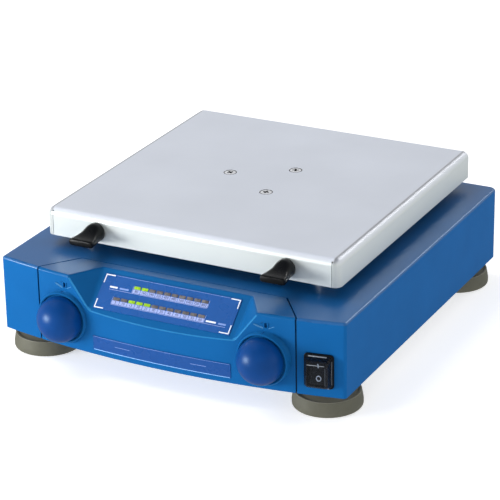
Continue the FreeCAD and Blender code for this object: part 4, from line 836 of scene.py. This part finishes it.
def in_bay(face):
    """True for the rounded strips between the floor of the bay and its sides."""
    middle = face.center / MM
    inside = BAY_LIP_Z < middle.z and BAY_FRONT_Y < middle.y < BAY_REAR_Y
    return inside and abs(middle.x) < SEAM_X and 0.3 < face.normal.z < 0.93


def on_boss(face):
    """True for the walls and edges of the round bosses behind the knobs."""
    middle = face.center / MM
    return math.hypot(abs(middle.x) - KNOB_X, middle.z - KNOB_Z) < BOSS_RADIUS


def paint_light_on_rim_and_marks(faces):
    """Paler paint on the rounded edges of the bay and on the lower walls of the marks: a painted
    highlight.

    The upper walls of the marks are darker: a painted shade.
    """
    reach = 1.4
    marks_from_x = 70.5
    marks_low = 61.0
    marks_high = 67.0
    line = [spot for spot, _inner, _outer in bay_rim() if spot.z < HOUSING_TOP - 1.0]
    for face in faces:
        middle = face.center / MM
        if marks_low < middle.z < marks_high and abs(middle.x) > marks_from_x:
            # lower walls of the marks get a painted highlight, upper walls a painted shade
            if face.normal.z > 0.5:
                face.material_index = PANEL_LOOKS.index("mark_painted_highlight")
            elif face.normal.z < -0.2:
                face.material_index = PANEL_LOOKS.index("mark_shade")
        for start, end in zip(line, line[1:]):
            near, share = intersect_point_line(middle, start, end)
            if 0 <= share <= 1 and (near - middle).length < reach:
                face.material_index = PANEL_LOOKS.index("rim_painted_highlight")


def make_front_panel():
    """Front insert: the CAD shape with softened bay edges and marks cut into its face."""
    rim_radius = 1.2
    mesh = bmesh.new()
    mesh.from_mesh(nodes["front_panel"].data)
    bmesh.ops.remove_doubles(mesh, verts=mesh.verts, dist=1e-6)
    piece = finish_piece("front_panel_insert", mesh, "root", "panel_paint",
                         [LOOKS[look] for look in PANEL_LOOKS], ("front_panel",), sharp=32.0)
    cutters = mark_cutters()
    add_rim_cutter(cutters, rim_radius)
    bmesh.ops.recalc_face_normals(cutters, faces=cutters.faces)
    tool = add_object("cutters", mesh_data("cutters", cutters))
    modifier = piece.modifiers.new("marks", "BOOLEAN")
    modifier.operation = "DIFFERENCE"
    modifier.solver = "EXACT"
    modifier.object = tool
    even = piece.modifiers.new("normals", "WEIGHTED_NORMAL")
    even.keep_sharp = True
    bpy.context.view_layer.update()
    result = bpy.data.meshes.new_from_object(
        piece.evaluated_get(bpy.context.evaluated_depsgraph_get()))
    piece.modifiers.clear()
    loose, bay = true_normals(result)
    for face in bay + [face for face in loose if in_bay(face) or on_boss(face)]:
        face.material_index = PANEL_LOOKS.index("bay_paint")
    paint_light_on_rim_and_marks(loose)
    piece.data = result
    bpy.data.objects.remove(tool)


def make_seam_shade_strips():
    """Dark strips deep in the two seams between the insert and the housing: a painted shade that keeps
    the seams dark.
    """
    mesh = bmesh.new()
    width = 1.1
    height = 53.0
    depth = 1.9
    for side in (-1, 1):
        place = towards_front(side * SEAM_X, front_y(SEAM_X) + depth, SEAM_MIDDLE_Z)
        add_plate(mesh, width, height, 0.2, 0.0, 1.0, place)
    finish_piece("seam_shade_strips", mesh, "root", "black_plastic")


# ---- controls

def make_knob(name, body, x):
    """Domed knob: softened back edge, short skirt, elliptical dome."""
    bore = 3.1
    radius = 16.6
    skirt = 2.6
    length = 18.0
    steps = 40
    profile = rounded([(bore, 0.0, 0), (radius, 0.0, 0.9), (radius, skirt, 0)])
    for step in range(1, steps):
        angle = math.pi / 2 * step / steps
        profile.append((radius * math.cos(angle), skirt + (length - skirt) * math.sin(angle)))
    profile.append((0.0, length))
    mesh = bmesh.new()
    add_lathe(mesh, profile, towards_front(x, KNOB_BACK_Y, KNOB_Z), 128)
    finish_piece(name + "_cap", mesh, body, "knob_plastic", replaced=(name,))


def make_switch():
    """Bezel of the power switch, clear cover over its rocker, and pale rods along the cover's edges as
    painted highlights.
    """
    place = front_frame(SWITCH_X, SWITCH_Z)
    mesh = bmesh.new()
    width = 20.8
    height = 25.4
    radius = 2.6
    rings = [box_ring(width - 2 * inset, height - 2 * inset, radius - inset, level, 6)
             for inset, level in ((0.1, 0.0), (0.0, 0.12), (0.0, 0.9), (0.12, 1.25), (0.36, 1.5),
                                  (0.7, 1.6), (2.2, 1.6), (2.5, 1.35), (2.9, 1.3), (3.2, 1.45),
                                  (3.45, 1.45), (3.55, 1.2), (3.6, -6.0))]
    add_loft(mesh, rings, place, start=False, end=False)
    finish_piece("switch_bezel", mesh, "root", "black_plastic", replaced=("switch_frame",))

    cover = bmesh.new()
    wall = 0.8
    cover_top = 9.5
    outer = [(18.9, 23.5, 2.4, 1.62), (19.0, 23.6, 2.4, 1.9), (18.7, 23.3, 2.3, 2.3),
             (17.9, 22.4, 2.2, 2.6), (17.4, 21.8, 2.2, 3.0), (16.4, 20.4, 2.3, 6.4),
             (15.4, 18.9, 2.2, 7.9), (14.4, 17.5, 2.0, 8.8), (13.4, 16.4, 1.8, 9.3),
             (12.6, 15.6, 1.7, cover_top)]
    rings = [box_ring(*size, steps=6) for size in outer]
    inner = [box_ring(w - 2 * wall, h - 2 * wall, max(r - wall, 0.5), min(level, cover_top - wall), 6)
             for w, h, r, level in reversed(outer)]
    add_loft(cover, rings, place, start=False)
    add_loft(cover, inner, place, end=False)
    bmesh.ops.remove_doubles(cover, verts=cover.verts, dist=1e-7)
    finish_piece("switch_cover", cover, "root", "clear_boot", replaced=("switch_boot",), sharp=60.0)

    # rods along the cover's edges stand in for light caught there: painted highlights
    edges = bmesh.new()
    for start, end, thick in (((-7.0, 11.35, 2.4), (6.0, 11.35, 2.4), 0.46),
                              ((-7.4, -11.6, 2.45), (7.4, -11.6, 2.45), 0.34),
                              ((9.3, -8.6, 2.35), (9.3, 8.6, 2.35), 0.11),
                              ((-6.1, 7.95, 9.4), (6.1, 7.95, 9.4), 0.22),
                              ((6.45, -6.6, 9.3), (6.45, 6.6, 9.3), 0.09)):
        add_rod(edges, start, end, thick, place)
    finish_piece("switch_cover_painted_highlights", edges, "root", "clear_boot", (LIT_EDGE,))


def make_rocker():
    """Concave rocker that rides on its own body, with a bar and a ring as marks."""
    tilt = math.radians(7.0)
    place = front_frame(SWITCH_X, SWITCH_Z) @ Matrix.Rotation(tilt, 4, "X")
    half_w = 6.3
    half_h = 9.3
    rise = 3.6
    dish = 2.0
    edge = 0.45
    back = -4.0
    back_rise = 4.5
    straight = 0.72  # share of the back that is straight

    def on_dish(y):
        """Level of the rocker's hollow face."""
        return rise - dish * (1 - (y / half_h) ** 2)

    mesh = bmesh.new()
    rings = []
    count = 24
    for step in range(count + 1):
        t = -1 + 2 * step / count
        y = half_h * t
        top = on_dish(y)
        deep = back + back_rise * max(abs(t) - straight, 0.0) / (1 - straight)
        rings.append([Vector((px, y, pz)) for px, pz in (
            (-half_w, deep), (-half_w, top - edge), (-half_w + edge * 0.3, top - edge * 0.3),
            (-half_w + edge, top), (half_w - edge, top), (half_w - edge * 0.3, top - edge * 0.3),
            (half_w, top - edge), (half_w, deep))])
    add_loft(mesh, rings, place)
    finish_piece("rocker_paddle", mesh, "power_rocker", "rocker_plastic", replaced=("power_rocker",))

    marks = bmesh.new()
    proud = 0.06
    sunk = -0.05
    bar_half = 0.35
    bar_start = 3.0
    bar_length = 4.0
    ring_y = -5.0
    ring_inner = 1.25
    ring_outer = 1.85
    ring_stretch = 1.1
    bar = []
    for step in range(7):
        y = bar_start + bar_length * step / 6
        bar.append([Vector((px, y, on_dish(y) + lift)) for px, lift in (
            (-bar_half, sunk), (bar_half, sunk), (bar_half, proud), (-bar_half, proud))])
    add_loft(marks, bar, place)
    ring = []
    turns = 32
    for index in range(turns):
        angle = 2 * math.pi * index / turns
        section = []
        for radius, lift in ((ring_inner, proud), (ring_outer, proud),
                             (ring_outer, sunk), (ring_inner, sunk)):
            y = ring_y + radius * ring_stretch * math.sin(angle)
            section.append(Vector((radius * math.cos(angle), y, on_dish(y) + lift)))
        ring.append(section)
    rows = add_rows(marks, ring, place)
    add_skin(marks, rows + rows[:1])
    finish_piece("rocker_marks", marks, "power_rocker", "rocker_plastic", (WHITE_INK,))


# ---- platform

def make_lock_knob(name, body, x):
    """Locking knob: round hub that flattens into a flared wing with a raised grip end."""
    place = towards_front(x, APRON_FRONT_Y, LOCK_Z)
    sections = [  # half width, half thickness, squareness, distance out, rise of the centre
        (6.2, 6.2, 2.0, 0.25, 0.0), (6.9, 6.9, 2.0, 0.5, 0.0), (7.1, 7.1, 2.0, 1.0, 0.0),
        (7.1, 7.1, 2.0, 4.2, 0.0), (7.0, 6.9, 2.1, 5.4, 0.0), (6.9, 6.3, 2.3, 7.2, -0.3),
        (7.0, 5.5, 2.6, 9.2, -0.7), (7.3, 4.7, 3.0, 11.4, -1.0), (7.8, 4.0, 3.6, 13.6, -1.1),
        (8.4, 3.4, 4.4, 15.8, -1.1), (8.9, 2.95, 5.2, 18.0, -1.0), (9.2, 2.7, 6.0, 20.0, -0.9),
        (9.35, 2.6, 6.5, 21.6, -0.8), (9.3, 2.5, 6.0, 22.3, -0.8), (9.0, 2.2, 5.0, 22.8, -0.8),
        (8.6, 1.8, 4.5, 23.0, -0.8),
    ]
    mesh = bmesh.new()
    add_loft(mesh, [oval_ring(*section) for section in sections], place)
    finish_piece(name + "_grip", mesh, body, "black_plastic", replaced=(name,), sharp=50.0)
    stud = bmesh.new()
    add_lathe(stud, [(0.0, 0.3), (3.0, 0.3), (3.0, -8.2), (2.4, -8.8), (0.0, -8.8)], place, 32)
    finish_piece(name + "_stud", stud, body, "screw_steel")


def round_ring(shape, radius, level):
    """Circle at one level, with a point in the direction of each point of the shape."""
    return [point.normalized() * radius + Vector((0, 0, level)) for point in shape]


def make_tray_screws():
    """Countersunk cross-head screws with a turned rim and a tapered recess; the recess and the gap round
    the head are black, a painted shade.
    """
    mesh = bmesh.new()
    count = 64
    wing = 2.4
    web = 0.75
    for index in range(3):
        angle = math.radians(60 + 120 * index)
        spot = Vector((*SCREW_CENTRE, TRAY_TOP)) + turned(SCREW_RING, angle)
        place = upwards(*spot) @ Matrix.Rotation(math.radians(22.0 + 31 * index), 4, "Z")
        cross = []
        for step in range(count):
            turn = 2 * math.pi * step / count
            near = max(abs(math.cos(turn)), abs(math.sin(turn)))
            off = min(abs(math.cos(turn)), abs(math.sin(turn)))
            reach = max(min(wing / near, web / max(off, 1e-6)), web * 1.35)
            cross.append(turned(reach, turn))
        head = [round_ring(cross, radius, level) for radius, level in (
            (2.5, -11.0), (2.5, -2.55), (4.2, -0.80), (4.34, -0.60),
            (4.26, -0.20), (3.9, -0.06), (3.3, -0.02))]
        add_loft(mesh, head + [cross], place, end=False)
        # recess walls in black: painted shade
        recess = [[point * shrink + Vector((0, 0, level)) for point in cross]
                  for shrink, level in ((1.0, 0.0), (0.96, -0.12), (0.6, -1.9))]
        add_loft(mesh, recess, place, start=False, material=1)
        # black ring for the gap round the head: painted shade
        groove = [round_ring(cross, radius, level) for radius, level in (
            (4.25, -0.50), (4.25, -0.16), (4.88, -0.16), (4.88, -0.50))]
        add_loft(mesh, groove, place, start=False, end=False, material=1)
    bmesh.ops.remove_doubles(mesh, verts=mesh.verts, dist=1e-7)
    finish_piece("platform_screw_heads", mesh, "platform", "screw_steel",
                 (LOOKS["screw_steel"], LOOKS["black_plastic"]), ("platform_screws",))


# ---- feet

def make_foot(name, x, y):
    """Rubber foot: flared wall, a top that rises to the hub and is painted lighter as painted light where
    the housing shades it, and shallow rings in its sole.
    """
    bore = 2.2
    recess = 6.0
    recess_top = 5.0
    top_from = 10.0
    corners = [(recess, recess_top, 0), (recess, 1.2, 0.4), (13.6, 1.2, 0.3), (14.6, 0.0, 0.5)]
    for groove in (16.4, 19.8):
        corners += [(groove, 0.0, 0.3), (groove + 0.5, 0.5, 0.2),
                    (groove + 1.3, 0.5, 0.2), (groove + 1.8, 0.0, 0.3)]
    corners += [(24.7, 0.0, 2.0), (24.7, 4.0, 3.0), (23.6, 10.3, 0.5), (23.4, 11.2, 0.6),
                (21.8, 11.2, 0.3), (21.2, 10.8, 0.3), (12.0, 12.6, 1.0), (12.0, 16.5, 0.2),
                (bore, 16.5, 0)]
    profile = rounded(corners) + [(bore, recess_top), (recess, recess_top)]
    mesh = bmesh.new()
    add_lathe(mesh, profile, upwards(x, y, 0.0), 120)
    bmesh.ops.remove_doubles(mesh, verts=mesh.verts, dist=1e-7)
    mesh.normal_update()
    # upward faces of the top take the lighter colour: painted light in the housing's shade
    for face in mesh.faces:
        if face.normal.z > 0.5 and face.calc_center_median().z > top_from * MM:
            face.material_index = 1
    finish_piece(name + "_cup", mesh, "root", "foot_rubber", (LOOKS["foot_rubber"], LOOKS["foot_top_painted_light"]),
                 (name,))


make_lamps(SPEED_ROW)
make_lamps(TIMER_ROW)
make_display_print()
make_display_numbers()
make_nameplate_print()
make_front_panel()
make_seam_shade_strips()
make_knob("speed_knob", "speed_control", -KNOB_X)
make_knob("timer_knob", "timer_control", KNOB_X)
make_switch()
make_rocker()
make_lock_knob("lock_knob_left", "lock_left", -LOCK_X)
make_lock_knob("lock_knob_right", "lock_right", LOCK_X)
make_tray_screws()
for end, foot_y in (("front", FOOT_FRONT_Y), ("rear", FOOT_REAR_Y)):
    make_foot(f"foot_{end}_left", -FOOT_X, foot_y)
    make_foot(f"foot_{end}_right", FOOT_X, foot_y)


# ---- stage

def dim_floor_in_reflections(look):
    """The floor reads as a mid grey in glossy reflections, as a table edge with black flags does."""
    grey = look.node("ShaderNodeEmission", "Emission", {"Color": (0.36, 0.37, 0.39, 1.0)})
    reflected = look.node("ShaderNodeLightPath", "Is Glossy Ray", {})
    look.blend(reflected, look.shader.outputs["BSDF"], grey)


def make_floor():
    """Plain white floor that glows a little of its own, like paper under soft light."""
    mesh = bmesh.new()
    half = 6.0
    mesh.faces.new([mesh.verts.new((x, y, 0.0)) for x, y in (
        (-half, -half), (half, -half), (half, half), (-half, half))])
    floor = add_object("floor", mesh_data("floor", mesh))
    look = Look("floor", (0.88, 0.88, 0.88), 0.9, Specular_IOR_Level=0.0,
                Emission_Strength=0.55, Emission_Color=(1.0, 1.0, 1.0, 1.0))
    floor.data.materials.append(look.material)
    dim_floor_in_reflections(look)


def make_light(name, spot, target, size, power, glossy=True):
    """White panel that faces its target; glossy says whether reflections show it."""
    light = bpy.data.lights.new(name, "AREA")
    light.shape = "RECTANGLE"
    light.size, light.size_y = size
    light.energy = power
    holder = add_object(name, light)
    holder.location = spot
    holder.rotation_euler = (Vector(target) - Vector(spot)).to_track_quat("-Z", "Y").to_euler()
    holder.visible_glossy = glossy


def make_world():
    """White studio surround, a little dimmer overhead."""
    world = bpy.data.worlds.new("studio")
    world.use_nodes = True
    tree = world.node_tree
    where = tree.nodes.new("ShaderNodeTexCoord").outputs["Generated"]
    parts = tree.nodes.new("ShaderNodeSeparateXYZ")
    ramp = tree.nodes.new("ShaderNodeValToRGB")
    tree.links.new(where, parts.inputs[0])
    tree.links.new(parts.outputs["Z"], ramp.inputs[0])
    ramp.color_ramp.elements[0].position = 0.45
    ramp.color_ramp.elements[0].color = (1.0, 1.0, 1.0, 1.0)
    ramp.color_ramp.elements[1].position = 0.95
    ramp.color_ramp.elements[1].color = (0.35, 0.38, 0.45, 1.0)
    background = tree.nodes["Background"]
    tree.links.new(ramp.outputs["Color"], background.inputs["Color"])
    background.inputs["Strength"].default_value = 0.60
    bpy.context.scene.world = world


def make_camera():
    """Camera at the photograph's angle: from the front right, looking down."""
    turn = math.radians(27.64)
    tilt = math.radians(23.05)
    roll = math.radians(-1.01)
    distance = 1679.0
    target = Vector((-6.75, 14.06, 47.13))
    back = Vector((math.sin(turn) * math.cos(tilt), -math.cos(turn) * math.cos(tilt), math.sin(tilt)))
    right = (-back).cross(Vector((0, 0, 1))).normalized()
    up = right.cross(-back)
    level_right = math.cos(roll) * right + math.sin(roll) * up
    level_up = -math.sin(roll) * right + math.cos(roll) * up
    data = bpy.data.cameras.new("camera")
    data.lens = 163.27
    data.sensor_width = 36.0
    camera = add_object("camera", data)
    camera.matrix_world = columns(level_right, level_up, back, target + back * distance)
    bpy.context.scene.camera = camera


make_floor()
make_world()
make_light("key", (-0.68, -0.80, 0.16), (0, -0.05, 0.05), (0.40, 0.28), 8.6)
make_light("left", (-0.85, -0.10, 1.70), (0, 0, 0.05), (1.3, 1.0), 13.0, glossy=False)
make_light("back", (0.45, 1.70, 1.20), (0, 0, 0.05), (0.8, 0.25), 4.5)
make_light("right", (1.60, -0.10, 0.45), (0, 0, 0.05), (1.0, 0.6), 5.0, glossy=False)
make_camera()
bpy.context.scene.view_settings.view_transform = "Standard"
